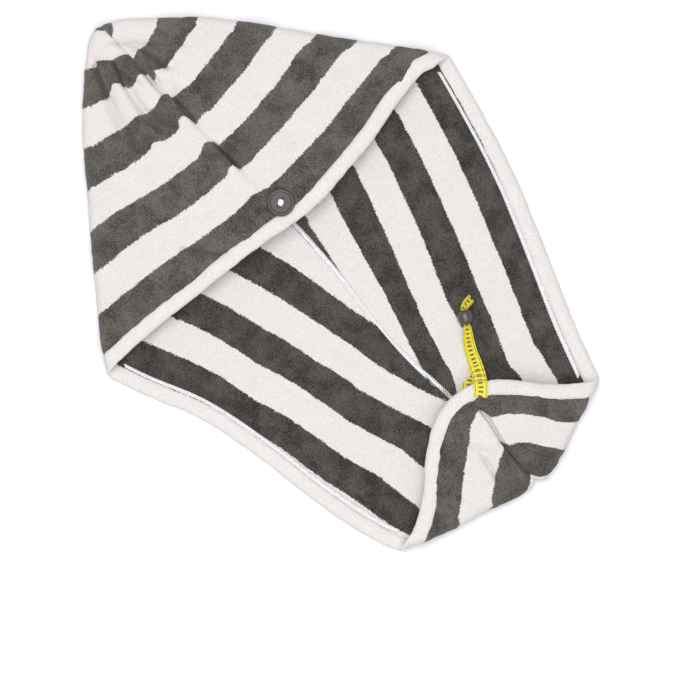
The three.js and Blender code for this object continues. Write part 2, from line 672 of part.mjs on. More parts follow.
const hemCrossing = hemPlace(loopAside);
const loopHeading = new THREE.Vector3(-1, 0, 0)
  .applyAxisAngle(new THREE.Vector3(0, 0, 1), -THREE.MathUtils.degToRad(loopAngle));
const beadHeight = wall + clearance + beadDiameter / 2;
// Height of the ribbon's middle where it lies over the hem, clear of the cloth across its width
function overHemRow(out) {
  const sideways = new THREE.Vector3(-loopHeading.y, loopHeading.x, 0);
  const heights = [-1, -0.5, 0, 0.5, 1].flatMap((share) => [-1, 0, 1].map((shift) => {
    const place = hemCrossing.clone().addScaledVector(loopHeading, out + shift * ribbonThickness)
      .addScaledVector(sideways, share * ribbonWidth / 2);
    return topHeight([leftPanel, rightPanel, rolledHem], place.x, place.y);
  }));
  return { out, aside: 0, up: Math.max(...heights) + clearance + ribbonThickness, width: 1 };
}
const overHemRows = hemCrossShares.map((share) => overHemRow(share * hemWidth / 2));
const lying = wall + clearance + ribbonThickness / 2;
const runRow = ({ out, aside, lift, width }) => (
  { out: out * loopLength, aside: aside * ribbonWidth, up: lying + lift * ribbonLift, width });
const neckEnd = beadLength / 2 + neckLead;
const tabRow = (share, droop, width) => (
  { out: loopLength + neckEnd + share * tabLength, aside: share * tabSway, up: beadHeight - droop, width });
const frontRows = [
  ...overHemRows,
  ...frontRunRows.map(runRow),
  { out: loopLength - neckEnd, aside: 0, up: beadHeight, width: neckShare },
  { out: loopLength + neckEnd, aside: 0, up: beadHeight, width: neckShare },
  tabRow(0.5, 0, 1),
  tabRow(1, ribbonThickness, tabFlare),
];
const backRows = [
  ...backRunRows.map(runRow),
  { out: loopLength - beadLength / 2 - backShort, aside: 0, up: lying + backRaise, width: neckShare },
];
const ribbonRun = (name, rows) => piece(
  name, ribbonGeometry(hemCrossing, loopHeading, rows), yellowRibbon);
const ribbonFront = ribbonRun('ribbon_front', frontRows);
const ribbonBack = ribbonRun('ribbon_back', backRows);

// Bead: a rounded barrel bored along the ribbon
function beadGeometry() {
  const end = (way) => new THREE.Vector2(beadBore / 2, way * beadLength / 2);
  const barrel = steps(-Math.PI / 2, Math.PI / 2, beadRings).slice(1).map((angle) => new THREE.Vector2(
    beadBore / 2 + (beadDiameter - beadBore) / 2 * Math.cos(angle) ** beadFullness,
    beadLength / 2 * Math.sin(angle)));
  const outline = [end(-1), ...barrel, end(1), end(-1)];
  return meshOf(solid(new THREE.LatheGeometry(outline, beadSides)));
}
const bead = piece('loop_bead', beadGeometry(), beadPlastic);
bead.position.copy(hemCrossing).addScaledVector(loopHeading, loopLength).setZ(beadHeight);
bead.quaternion.setFromUnitVectors(new THREE.Vector3(0, 1, 0), loopHeading);

// The whole turban, moved so that its origin is the bottom centre of its box
const turban = new THREE.Group();
turban.add(leftPanel, rightPanel, rolledHem, seamOverlock, buttonSeat, ribbonFront, ribbonBack, bead);
turban.updateMatrixWorld(true);
const box = new THREE.Box3().setFromObject(turban, true);
turban.position.set(-(box.min.x + box.max.x) / 2, -(box.min.y + box.max.y) / 2, -box.min.z);

export default turban;
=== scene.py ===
import math

import bpy
import numpy as np
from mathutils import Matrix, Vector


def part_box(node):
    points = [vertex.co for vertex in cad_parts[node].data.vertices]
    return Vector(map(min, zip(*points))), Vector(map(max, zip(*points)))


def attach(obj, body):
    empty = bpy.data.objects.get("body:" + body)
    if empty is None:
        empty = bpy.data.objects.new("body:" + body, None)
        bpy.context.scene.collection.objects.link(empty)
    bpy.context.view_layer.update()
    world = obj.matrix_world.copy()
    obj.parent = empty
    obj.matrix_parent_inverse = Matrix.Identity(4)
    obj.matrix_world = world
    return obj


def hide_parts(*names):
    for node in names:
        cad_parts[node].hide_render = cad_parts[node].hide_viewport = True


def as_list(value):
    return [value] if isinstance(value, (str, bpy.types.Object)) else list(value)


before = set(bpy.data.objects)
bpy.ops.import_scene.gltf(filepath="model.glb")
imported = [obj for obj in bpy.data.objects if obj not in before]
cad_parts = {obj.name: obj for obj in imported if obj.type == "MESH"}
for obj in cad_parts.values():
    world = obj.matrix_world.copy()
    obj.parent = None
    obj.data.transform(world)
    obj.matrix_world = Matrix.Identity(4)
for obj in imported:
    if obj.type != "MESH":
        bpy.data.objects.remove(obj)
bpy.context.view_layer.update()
print("turban: frame loaded")

# The towel lies with its mouth up: X runs along the centre seam from the hood's tip to the tail's
# tip, Y to the wearer's right. Lengths are in metres from the seam's end at the hood's tip, and
# bulges are shares of a line's own length.
towel = {
    "length": 0.564,
    "hoodDepth": 0.2415,     # hood tip to the hem under the button
    "tailDepth": 0.097,      # tail tip to the hem at the loop
    "seamSway": 0.014,
    "wall": 0.003,
    "foldHeight": 0.012,     # between the middles of the two layers at a fold
    "foldRound": 0.0065,
    "hoodRise": 0.010,
    "tailRise": 0.005,
    "hemWidth": 0.014,
    "hemHeight": 0.007,
    "hemTuck": 0.0045,       # how far the cloth runs into the rolled hem
    "hemRamp": 0.016,
    "outwardBlend": 0.25,
    "groundGap": 0.0001,
}
# A side's lines hold shares along the line, then bulges there
leftSide = {
    "turn": -1,
    "hoodBack": 0.2185, "hoodReach": 0.211, "tailBack": 0.039, "tailReach": 0.120,
    "hoodFold": (
        (0, 0.012, 0.037, 0.095, 0.153, 0.24, 0.385, 0.53, 0.7, 0.84, 0.94, 1),
        (0, 0.016, 0.032, 0.043, 0.052, 0.059, 0.056, 0.049, 0.038, 0.029, 0.019, 0),
    ),
    "tailFold": (
        (0, 0.06, 0.12, 0.2, 0.385, 0.494, 0.697, 0.887, 1),
        (0, 0.038, 0.053, 0.057, 0.046, 0.038, 0.047, 0.034, 0),
    ),
    "hoodHem": ((0, 0.2, 0.5, 0.72, 1), (0, -0.011, -0.013, -0.016, 0)),
    "underHem": (
        (0, 0.1, 0.29, 0.5, 0.72, 0.86, 0.95, 1),
        (0, 0.009, 0.036, 0.028, 0.002, -0.007, -0.006, 0),
    ),
    "tailHem": (
        (0, 0.1, 0.29, 0.53, 0.73, 0.89, 1),
        (0, -0.005, 0.02, 0.083, 0.104, 0.07, 0),
    ),
}
rightSide = {
    "turn": 1,
    "hoodBack": 0.2345, "hoodReach": 0.195, "tailBack": 0.0216, "tailReach": 0.095,
    "hoodFold": (
        (0, 0.039, 0.081, 0.167, 0.282, 0.397, 0.513, 0.629, 0.745, 0.861, 0.95, 1),
        (0, 0.017, 0.029, 0.041, 0.052, 0.049, 0.042, 0.034, 0.027, 0.02, 0.013, 0),
    ),
    "tailFold": (
        (0, 0.05, 0.134, 0.272, 0.4, 0.546, 0.683, 0.829, 1),
        (0, 0.062, 0.085, 0.091, 0.083, 0.068, 0.052, 0.042, 0),
    ),
    "hoodHem": (
        (0, 0.06, 0.156, 0.295, 0.47, 0.66, 0.8, 0.93, 1),
        (0, -0.024, -0.022, -0.01, 0.015, 0.022, 0.026, 0.016, 0),
    ),
    "underHem": (
        (0, 0.15, 0.28, 0.41, 0.54, 0.67, 0.82, 1),
        (0, -0.013, -0.021, -0.023, -0.018, -0.011, -0.002, 0),
    ),
    "tailHem": (
        (0, 0.13, 0.31, 0.54, 0.74, 0.9, 1),
        (0, -0.005, 0, 0.038, 0.055, 0.038, 0),
    ),
}
seamDrift = {  # shares along the seam, then shares of seamSway there
    "under": ((0, 0.43, 0.56, 0.66, 0.73, 0.85, 1), (1, 0.86, 0.45, 0, -0.2, -0.1, 0)),
    "hood": ((0, 0.2, 0.6, 1), (1, 0.93, 0.8, 0.72)),
    "tail": ((0, 0.45, 0.8, 1), (0, 0.16, 0.66, 0.8)),
}
seamPull = {  # how far the seam on the ground is drawn to the left, by share of its length
    "line": ((0, 0.3, 0.45, 0.55, 0.65, 0.75, 0.85, 0.95, 1),
             (0, 0.0036, 0.0043, 0.0026, 0.0024, 0.0020, 0.0024, 0.0010, 0)),
    "reach": 0.014,
}
crown = {  # shares of the rise, from a fold to the end of the seam
    "at": (0, 0.1, 0.25, 0.45, 0.7, 1),
    "seam": (0, 0.34, 0.66, 0.86, 0.97, 1),
    "middle": (0, 0.3, 0.66, 0.9, 0.99, 1),
    "hem": (0, 0.12, 0.3, 0.52, 0.8, 1),
}
softTroughs = (  # millimetres: from x, from y, to x, to y, depth, spread
    (19.2, -11.3, 77.3, -36.6, 3.6, 7.5), (29.9, -0.8, 89.1, -12.8, 4.2, 7),
    (39.5, 22.4, 94.2, 14, 4.5, 7.5), (39.5, 37.2, 69.9, 30.9, 3.4, 6.5),
    (89.1, 12.3, 121.8, 12.7, 3, 7), (148.9, 9.8, 178.2, 11.9, 2.2, 7),
    (20.3, 11, 42.9, 30.9, 3, 6), (192.9, -76.1, 224.5, -53.5, 2, 8),
    (485, 9.8, 555.5, 1.3, 2.6, 6), (538.6, -21.9, 558.4, -9.2, 2.6, 6),
)


def smooth(share):
    # 3 s^2 - 2 s^3 of the share kept between 0 and 1
    s = np.clip(share, 0, 1)
    return s * s * (3 - 2 * s)


def unit(vectors):
    # Each vector divided by its length
    return vectors / np.linalg.norm(vectors, axis=-1, keepdims=True)


def runAlong(points):
    # Length along a line of points, from its start to each of them
    return np.concatenate([[0], np.cumsum(np.linalg.norm(np.diff(points, axis=0), axis=-1))])


def roundTurn(count):
    # Angles of a full turn in even steps
    return np.arange(count) * 2 * math.pi / count


def curveThrough(at, values):
    # Cubic through a table's points; its slope at a point is that of the line between its neighbours
    at, values = np.asarray(at, float), np.asarray(values, float)
    order = np.arange(len(at))
    ahead, behind = np.minimum(order + 1, len(at) - 1), np.maximum(order - 1, 0)
    slopes = (values[ahead] - values[behind]) / (at[ahead] - at[behind])

    def evaluate(share):
        i = np.clip(np.searchsorted(at, share) - 1, 0, len(at) - 2)
        span = at[i + 1] - at[i]
        u = np.clip((share - at[i]) / span, 0, 1)
        ends = values[i] * (1 + 2 * u) * (1 - u) ** 2 + values[i + 1] * u * u * (3 - 2 * u)
        return ends + span * (slopes[i] * u * (1 - u) ** 2 + slopes[i + 1] * u * u * (u - 1))

    return evaluate


def bulgingLine(start, end, rows, turn):
    # start + share * chord + bulge(share) * the chord turned a quarter to its left
    bulge = curveThrough(*rows)
    chord = end - start
    leftward = np.array([-chord[1], chord[0]]) * turn
    return lambda share: start + share[..., None] * chord + bulge(share)[..., None] * leftward


def seamLine(fromX, toX, rows):
    # straight in X, with the table's sway in Y
    sway = curveThrough(*rows)
    return lambda share: np.stack([fromX + (toX - fromX) * share, towel["seamSway"] * sway(share)], -1)


def fourSided(low, high, start, end, along, across):
    # Sum of the two blends between facing borders, less the blend of the four corners
    zero, one = np.zeros_like(along), np.ones_like(along)
    u, v = along[..., None], across[..., None]
    borders = low(along) * (1 - v) + high(along) * v + start(across) * (1 - u) + end(across) * u
    nearCorners = low(zero) * (1 - u) * (1 - v) + high(zero) * (1 - u) * v
    return borders - nearCorners - low(one) * u * (1 - v) - high(one) * u * v


def lineFrame(plan, fromX, fromY, toX, toY):
    # Share of the way along a line, signed distance to its left, and distance to its nearest point
    start, line = np.array([fromX, fromY]), np.array([toX - fromX, toY - fromY])
    length = np.linalg.norm(line)
    way = plan - start
    share = way @ line / (length * length)
    aside = (way[..., 1] * line[0] - way[..., 0] * line[1]) / length
    beyond = np.maximum(np.maximum(-share, share - 1), 0) * length
    return share, aside, np.hypot(aside, beyond)


def troughDepth(plan):
    # Sum over the lines of depth * exp(-(distance to the line / spread)^2)
    depth = np.zeros(plan.shape[:-1])
    for fromX, fromY, toX, toY, deep, spread in np.array(softTroughs) / 1000:
        depth += deep * np.exp(-(lineFrame(plan, fromX, fromY, toX, toY)[2] / spread) ** 2)
    return depth


def sheetSurface(side):
    # One panel's middle surface as a function of (girth, across). Girth runs 0 to 5: hood top from
    # the button to its fold, the fold, the layer on the ground, the tail's fold, and the tail's top
    # to the loop. Across runs from the seam to the middle of the hem. The tops' far corners are the
    # button and the loop; skew moves a fold's line along it, so that the hem turns over squarely.
    turn, t = side["turn"], towel
    tips = {"hood": np.array([0, t["seamSway"]]), "tail": np.array([t["length"], 0])}
    corners = {"hood": np.array([side["hoodBack"], t["seamSway"] + turn * side["hoodReach"]]),
               "tail": np.array([t["length"] - side["tailBack"], turn * side["tailReach"]])}
    tops = {"hood": np.array([t["hoodDepth"], t["seamSway"] * seamDrift["hood"][1][-1]]),
            "tail": np.array([t["length"] - t["tailDepth"], t["seamSway"] * seamDrift["tail"][1][-1]])}
    ways = {"hood": 1, "tail": -1}
    edges, outward, skew = {}, {}, {}
    over = math.pi * math.hypot(t["foldRound"], t["foldHeight"] / 2) / math.sqrt(2)
    for end, way in ways.items():
        chord, hem = corners[end] - tips[end], tops[end] - corners[end]
        edges[end] = bulgingLine(tips[end], corners[end], side[end + "Fold"], way * turn)
        outward[end] = unit(np.array([-chord[1], chord[0]]) * way * turn)
        back = -chord @ hem / (np.linalg.norm(chord) * np.linalg.norm(hem))
        skew[end] = over * back / math.sqrt(1 - back * back) / np.linalg.norm(chord)

    def foldOut(end, across):
        blend = smooth(across / t["outwardBlend"])[..., None]
        return unit(np.array([-ways[end], 0]) * (1 - blend) + outward[end] * blend)

    def foldRoot(end, across, turned):
        edge = edges[end](across * (1 + skew[end] * (0.5 - turned)))
        return edge - foldOut(end, across) * (t["wall"] / 2 + t["foldRound"])

    def rootLine(end, turned):
        return lambda share: foldRoot(end, share, turned)

    ends = [(end, turned) for end in ways for turned in (0, 1)]
    rootAt = {(end, turned): foldRoot(end, np.zeros(1), turned)[0] for end, turned in ends}
    cornerAt = {(end, turned): foldRoot(end, np.ones(1), turned)[0] for end, turned in ends}
    seams = {end: seamLine(rootAt[end, 1][0], tops[end][0], seamDrift[end]) for end in ways}
    hems = {end: bulgingLine(cornerAt[end, 1], tops[end], side[end + "Hem"], way * turn)
            for end, way in ways.items()}
    underSeam = seamLine(rootAt["hood", 0][0], rootAt["tail", 0][0], seamDrift["under"])
    underHem = bulgingLine(cornerAt["hood", 0], cornerAt["tail", 0], side["underHem"], -turn)
    crownAt = {name: curveThrough(crown["at"], crown[name]) for name in ("seam", "middle", "hem")}
    pullAt = curveThrough(*seamPull["line"])

    def crownShare(along, across):
        low = crownAt["seam"](along) * (1 - across) * (1 - 2 * across)
        return (low + crownAt["middle"](along) * 4 * across * (1 - across)
                + crownAt["hem"](along) * across * (2 * across - 1))

    def underHeight(across, reach):
        inside = (1 - across) * reach - t["hemWidth"] / 2
        return t["wall"] / 2 + (t["hemHeight"] - t["wall"]) / 2 * (1 - smooth(inside / t["hemRamp"]))

    def topLayer(end, along, across):
        plan = fourSided(seams[end], hems[end], rootLine(end, 1),
                         lambda share: tops[end] + 0 * share[..., None], along, across)
        base = underHeight(across, side[end + "Reach"])
        base = base + (t["hemHeight"] / 2 - base) * smooth(along)
        rise = t[end + "Rise"] * crownShare(along, across)
        return plan, base + t["foldHeight"] + rise - troughDepth(plan)

    def foldLayer(end, share, across):
        angle = share * math.pi
        swing = (t["foldRound"] * np.sin(angle))[..., None]
        plan = foldRoot(end, across, share) + foldOut(end, across) * swing
        height = underHeight(across, side[end + "Reach"]) + t["foldHeight"] * (1 - np.cos(angle)) / 2
        return plan, height - troughDepth(plan) * smooth(share)

    def underLayer(along, across):
        plan = fourSided(underSeam, underHem, rootLine("hood", 0), rootLine("tail", 0), along, across)
        reach = side["hoodReach"] + (side["tailReach"] - side["hoodReach"]) * along
        plan[..., 1] -= pullAt(along) * np.exp(-(across * reach / seamPull["reach"]) ** 2)
        return plan, underHeight(across, reach)

    def surface(girth, across):
        girth, across = np.broadcast_arrays(np.asarray(girth, float), np.asarray(across, float))
        points = np.zeros(girth.shape + (3,))
        parts = (
            (girth < 1, lambda g, a: topLayer("hood", 1 - g, a)),
            ((girth >= 1) & (girth < 2), lambda g, a: foldLayer("hood", 2 - g, a)),
            ((girth >= 2) & (girth <= 3), lambda g, a: underLayer(g - 2, a)),
            ((girth > 3) & (girth <= 4), lambda g, a: foldLayer("tail", g - 3, a)),
            (girth > 4, lambda g, a: topLayer("tail", g - 4, a)),
        )
        for where, layer in parts:
            if where.any():
                plan, height = layer(girth[where], across[where])
                points[where] = np.concatenate([plan, height[..., None]], -1)
        return points

    return surface


surfaces = {"left": sheetSurface(leftSide), "right": sheetSurface(rightSide)}
sides = {"left": leftSide, "right": rightSide}


def hemFrame(surface, girth):
    # Along the hem, out of the sheet square to it, and the sheet's reach, by small differences
    step = 1e-3
    at = np.clip(girth, 0.02, 4.98)
    along = unit(surface(at + step, 1) - surface(at - step, 1))
    out = (surface(at, 1) - surface(at, 1 - step)) / step
    out -= along * (along * out).sum(-1, keepdims=True)
    reach = np.linalg.norm(out, axis=-1)
    return along, out / reach[..., None], reach


def hemStations(count):
    # Girths down the left side and back up the right, spaced evenly by length
    found = []
    for name, order in (("left", 1), ("right", -1)):
        girth = np.linspace(0, 5, 2000)[::order]
        points = surfaces[name](girth, 1)
        found.append((name, girth, runAlong(points)))
    whole = sum(run[-1] for _, _, run in found)
    return [(name, np.interp(np.arange(int(count * run[-1] / whole)) * whole / count, run, girth))
            for name, girth, run in found]


def hemRings(count, sides):
    # Oval section carried round the mouth: centre, directions out and through, and the oval itself
    centres, sections = [], []
    angle = roundTurn(sides)
    for name, girth in hemStations(count):
        along, out, _ = hemFrame(surfaces[name], girth)
        through = np.cross(out, along) * (1 if name == "left" else -1)
        centres.append(surfaces[name](girth, 1))
        sections.append(out[:, None] * (towel["hemWidth"] / 2 * np.cos(angle))[:, None]
                        + through[:, None] * (towel["hemHeight"] / 2 * np.sin(angle))[:, None])
    return np.concatenate(centres), np.concatenate(sections)


# The frame's origin is the middle of the whole model's box, so these points are moved to it by
# laying the plain hem in the box of the frame's own
plainCentres, plainSections = hemRings(600, 24)
plainHem = plainCentres[:, None] + plainSections
hemLow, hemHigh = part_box("rolled_hem")
originShift = np.array([
    (hemLow.x + hemHigh.x - plainHem[..., 0].min() - plainHem[..., 0].max()) / 2,
    (hemLow.y + hemHigh.y - plainHem[..., 1].min() - plainHem[..., 1].max()) / 2,
    0,
])


noiseSeed = {"wrinkle": 3, "ripple": 4, "outerPile": 11, "innerPile": 12, "swell": 21, "twist": 22,
             "hemPile": 23, "binding": 31}


def latticeNoise(points, cell, kind):
    # Random values on the corners of cubes of that size, blended smoothly inside; from -1 to 1
    scaled = points / cell
    low = np.floor(scaled).astype(np.int64)
    part = scaled - low
    part = part * part * (3 - 2 * part)
    total = np.zeros(points.shape[:-1])
    for corner in np.ndindex(2, 2, 2):
        x, y, z = np.moveaxis(low + corner, -1, 0)
        key = (x * 73856093 ^ y * 19349663 ^ z * 83492791 ^ noiseSeed[kind] * 2654435761) & 0xFFFFFFFF
        key = (key ^ (key >> 15)) * 2246822519 & 0xFFFFFFFF
        key = (key ^ (key >> 13)) * 3266489917 & 0xFFFFFFFF
        value = ((key ^ (key >> 16)) & 0xFFFFFF) / 0x7FFFFF - 1
        total += value * np.where(corner, part, 1 - part).prod(-1)
    return total


def addObject(name, data):
    item = bpy.data.objects.new(name, data)
    bpy.context.scene.collection.objects.link(item)
    return item


def buildPiece(name, slot, nodes, points, faces, **attributes):
    # Makes an object of points and arrays of faces with as many corners each, turned outwards
    # where their volume is negative. It rides on the one body, takes its finish from a slot and
    # stands for its CAD nodes.
    volume = 0.0
    for corners in faces:
        first = points[corners[:, 0]]
        for k in range(1, corners.shape[1] - 1):
            volume += (first * np.cross(points[corners[:, k]], points[corners[:, k + 1]])).sum()
    if volume < 0:
        faces = [corners[:, ::-1] for corners in faces]
    loops = np.concatenate([corners.ravel() for corners in faces])
    sizes = np.concatenate([np.full(len(corners), corners.shape[1]) for corners in faces])
    mesh = bpy.data.meshes.new(name)
    mesh.vertices.add(len(points))
    mesh.vertices.foreach_set("co", np.asarray(points, np.float32).ravel())
    mesh.loops.add(len(loops))
    mesh.loops.foreach_set("vertex_index", loops.astype(np.int32))
    mesh.polygons.add(len(sizes))
    mesh.polygons.foreach_set("loop_start", np.concatenate([[0], np.cumsum(sizes)[:-1]]).astype(np.int32))
    mesh.update(calc_edges=True)
    mesh.validate()
    mesh.polygons.foreach_set("use_smooth", np.full(len(mesh.polygons), True))
    for key, values in attributes.items():
        mesh.attributes.new(key, "FLOAT", "POINT").data.foreach_set("value", np.asarray(values, np.float32))
    mesh.materials.append(materials[slot])
    piece = addObject(name, mesh)
    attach(piece, "root")
    if nodes:
        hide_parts(*nodes)
    return piece


def gridFaces(rows, columns, wrapRows=False, wrapColumns=False):
    # Quads between neighbours of a grid, numbered row by row
    i = np.arange(rows if wrapRows else rows - 1)[:, None]
    j = np.arange(columns if wrapColumns else columns - 1)[None, :]
    nextRow, nextColumn = (i + 1) % rows, (j + 1) % columns
    corners = (i * columns + j, nextRow * columns + j,
               nextRow * columns + nextColumn, i * columns + nextColumn)
    return np.stack(np.broadcast_arrays(*corners), -1).reshape(-1, 4)


def tubeParts(rings):
    # Points and faces of a closed tube: rings of points, and a fan over each end
    rows, columns = rings.shape[:2]
    points = np.concatenate([rings.reshape(-1, 3), rings[0].mean(0)[None], rings[-1].mean(0)[None]])
    j = np.arange(columns)
    k = (j + 1) % columns
    last = (rows - 1) * columns
    start = np.stack([np.full(columns, rows * columns), j, k], -1)
    end = np.stack([np.full(columns, rows * columns + 1), last + k, last + j], -1)
    return points, [gridFaces(rows, columns, wrapColumns=True), np.concatenate([start, end])]


def joinParts(parts):
    # Several tubes as one mesh: their faces are renumbered past the points before them
    points, quads, triangles, count = [], [], [], 0
    for partPoints, (partQuads, partTriangles) in parts:
        points.append(partPoints)
        quads.append(partQuads + count)
        triangles.append(partTriangles + count)
        count += len(partPoints)
    return np.concatenate(points), [np.concatenate(quads), np.concatenate(triangles)]


def sweep(path, radius, sides, upright):
    # Rings of a round section carried along a path, square to it; radius may change along it
    along = unit(np.gradient(path, axis=0))
    sideways = unit(np.cross(upright, along))
    through = np.cross(along, sideways)
    angle = roundTurn(sides)
    radius = np.broadcast_to(radius, len(path))[:, None, None]
    return path[:, None] + radius * (sideways[:, None] * np.cos(angle)[:, None]
                                     + through[:, None] * np.sin(angle)[:, None])


# Materials
def newNode(tree, kind, **values):
    # Sets a node's own settings by attribute and its sockets by their names
    node = tree.nodes.new(kind)
    for key, value in values.items():
        if key in node.inputs:
            node.inputs[key].default_value = value
        else:
            setattr(node, key, value)
    return node


def mathNode(tree, operation, first, second=None, third=None):
    node = tree.nodes.new("ShaderNodeMath")
    node.operation = operation
    for socket, value in zip(node.inputs, (first, second, third)):
        if value is None:
            continue
        if isinstance(value, (int, float)):
            socket.default_value = value
        else:
            tree.links.new(value, socket)
    return node.outputs[0]


def noiseNode(tree, vector, scale, detail=2.0, roughness=0.5):
    node = newNode(tree, "ShaderNodeTexNoise", Scale=scale, Detail=detail, Roughness=roughness)
    tree.links.new(vector, node.inputs["Vector"])
    return node.outputs["Fac"]


def rampNode(tree, value, low, high):
    # 0 up to low, 1 from high, even between
    node = newNode(tree, "ShaderNodeMapRange")
    node.inputs["From Min"].default_value = low
    node.inputs["From Max"].default_value = high
    tree.links.new(value, node.inputs["Value"])
    return node.outputs[0]


def attributeNode(tree, name):
    return newNode(tree, "ShaderNodeAttribute", attribute_name=name).outputs["Fac"]


def mixColour(tree, factor, first, second):
    node = tree.nodes.new("ShaderNodeMix")
    node.data_type = "RGBA"
    for socket, value in ((node.inputs[0], factor), (node.inputs[6], first), (node.inputs[7], second)):
        if isinstance(value, (int, float, tuple)):
            socket.default_value = value
        else:
            tree.links.new(value, socket)
    return node.outputs[2]


def startMaterial(name, **finish):
    material = bpy.data.materials.new(name)
    material.use_nodes = True
    tree = material.node_tree
    for key, value in finish.items():
        tree.nodes["Principled BSDF"].inputs[key.replace("_", " ")].default_value = value
    return material, tree, tree.nodes.new("ShaderNodeTexCoord").outputs["Object"]


def paint(tree, colour, height, distance, strength):
    # Base colour, and a bump of that height
    sockets = tree.nodes["Principled BSDF"].inputs
    bump = newNode(tree, "ShaderNodeBump", Distance=distance, Strength=strength)
    tree.links.new(height, bump.inputs["Height"])
    tree.links.new(bump.outputs["Normal"], sockets["Normal"])
    tree.links.new(colour, sockets["Base Color"])


def pileGroup():
    # Plush pile: clumps a few millimetres wide with finer fibres on them, and brushed patches, all
    # round a half: a height, and a shade that leans the colour lighter or darker
    group = bpy.data.node_groups.new("plushPile", "ShaderNodeTree")
    sockets = (("INPUT", ("Vector", "Clumps", "Fibres", "Brushing")), ("OUTPUT", ("Height", "Shade")))
    for way, names in sockets:
        for name in names:
            kind = "NodeSocketVector" if name == "Vector" else "NodeSocketFloat"
            group.interface.new_socket(name, in_out=way, socket_type=kind)
    entry, leave = group.nodes.new("NodeGroupInput"), group.nodes.new("NodeGroupOutput")
    clumps = newNode(group, "ShaderNodeTexNoise", Detail=3.0, Roughness=0.6)
    fibres = newNode(group, "ShaderNodeTexNoise", Detail=2.0, Roughness=0.7)
    brushed = newNode(group, "ShaderNodeTexNoise", Scale=52.0, Detail=4.0, Roughness=0.6, Distortion=0.5)
    for node in (clumps, fibres, brushed):
        group.links.new(entry.outputs["Vector"], node.inputs["Vector"])
    group.links.new(entry.outputs["Clumps"], clumps.inputs["Scale"])
    group.links.new(entry.outputs["Fibres"], fibres.inputs["Scale"])
    fine = mathNode(group, "MULTIPLY", fibres.outputs["Fac"], 0.6)
    height = mathNode(group, "ADD", clumps.outputs["Fac"], fine)
    grain = mathNode(group, "MULTIPLY_ADD", mathNode(group, "SUBTRACT", height, 0.8), 3.0, 0.5)
    patches = mathNode(group, "MULTIPLY", mathNode(group, "SUBTRACT", brushed.outputs["Fac"], 0.5),
                       entry.outputs["Brushing"])
    group.links.new(height, leave.inputs["Height"])
    group.links.new(mathNode(group, "ADD", grain, patches), leave.inputs["Shade"])
    return group


plushPile = pileGroup()


def addPile(tree, place, clumps, fibres, brushing):
    node = tree.nodes.new("ShaderNodeGroup")
    node.node_tree = plushPile
    for key, value in (("Clumps", clumps), ("Fibres", fibres), ("Brushing", brushing)):
        node.inputs[key].default_value = value
    tree.links.new(place, node.inputs["Vector"])
    return node.outputs["Height"], node.outputs["Shade"]


stripes = {
    "hemBand": 0.0135,       # white next to the hem, from its edge
    "width": 0.02736,        # each stripe, dark and white alike
    "edgeBlur": 0.0003,
    "ragged": (95.0, 2.0, 0.0026),   # noise's scale and detail, and how far the edge wanders
    "fringed": (800.0, 3.0, 0.0050),
    "dark": ((0.024, 0.020, 0.016, 1), (0.150, 0.132, 0.117, 1)),
    # inner face: the darker back of the pile, and painted shade of the hood's inside
    "darkInsideShaded": ((0.003, 0.002, 0.001, 1), (0.094, 0.080, 0.069, 1)),
    "white": ((0.715, 0.67, 0.66, 1), (0.855, 0.805, 0.795, 1)),
    "creaseShade": 0.45,     # painted shade at the bottom of a pleat
    # colour of the painted shade at a crease's bottom
    "creaseShadeColour": (0.03, 0.026, 0.024, 1),
}
pile = {  # scales of the clumps and of the fibres, and how strongly the brushed patches show
    "finish": {"Roughness": 0.92, "Sheen_Weight": 0.15, "Sheen_Roughness": 0.6},
    "dark": (820.0, 1500.0, 2.0),
    "white": (820.0, 1500.0, 0.3),
    "hem": (700.0, 1300.0, 0.3),
    "bump": (0.0014, 0.9),
}


def wander(tree, place, scale, detail, amount):
    # Noise round nought, as a length
    noise = mathNode(tree, "SUBTRACT", noiseNode(tree, place, scale, detail, 0.65), 0.5)
    return mathNode(tree, "MULTIPLY", noise, amount)


def stripedPlushMaterial():
    # Stripes follow hemDistance, each point's distance from the hem in the flat cloth, with a
    # ragged edge where the two piles mix
    material, tree, place = startMaterial("stripedPlush", **pile["finish"])
    distance = attributeNode(tree, "hemDistance")
    shifted = mathNode(tree, "ADD", distance, wander(tree, place, *stripes["ragged"]))
    shifted = mathNode(tree, "ADD", shifted, wander(tree, place, *stripes["fringed"]))
    fromMiddle = mathNode(tree, "SUBTRACT", shifted, stripes["hemBand"] + stripes["width"] / 2)
    wave = mathNode(tree, "PINGPONG", fromMiddle, stripes["width"])
    edge = stripes["width"] / 2
    band = rampNode(tree, wave, edge - stripes["edgeBlur"], edge + stripes["edgeBlur"])
    height, shade = addPile(tree, place, *pile["dark"])
    evenShade = addPile(tree, place, *pile["white"])[1]
    outside = mixColour(tree, shade, *stripes["dark"])
    # The inner face is darker: partly the pile's back, partly painted shade inside the hood
    inside = mixColour(tree, shade, *stripes["darkInsideShaded"])
    dark = mixColour(tree, attributeNode(tree, "inside"), outside, inside)
    white = mixColour(tree, evenShade, *stripes["white"])
    striped = mixColour(tree, band, dark, white)
    # Painted shade: the colour darkens towards the crease colour at the bottom of each crease
    creaseShadeMask = mathNode(tree, "MULTIPLY", attributeNode(tree, "crease"), stripes["creaseShade"])
    paint(tree, mixColour(tree, creaseShadeMask, striped, stripes["creaseShadeColour"]), height, *pile["bump"])
    return material


def whitePlushMaterial():
    material, tree, place = startMaterial("whitePlush", **pile["finish"])
    height, shade = addPile(tree, place, *pile["hem"])
    paint(tree, mixColour(tree, shade, *stripes["white"]), height, *pile["bump"])
    return material


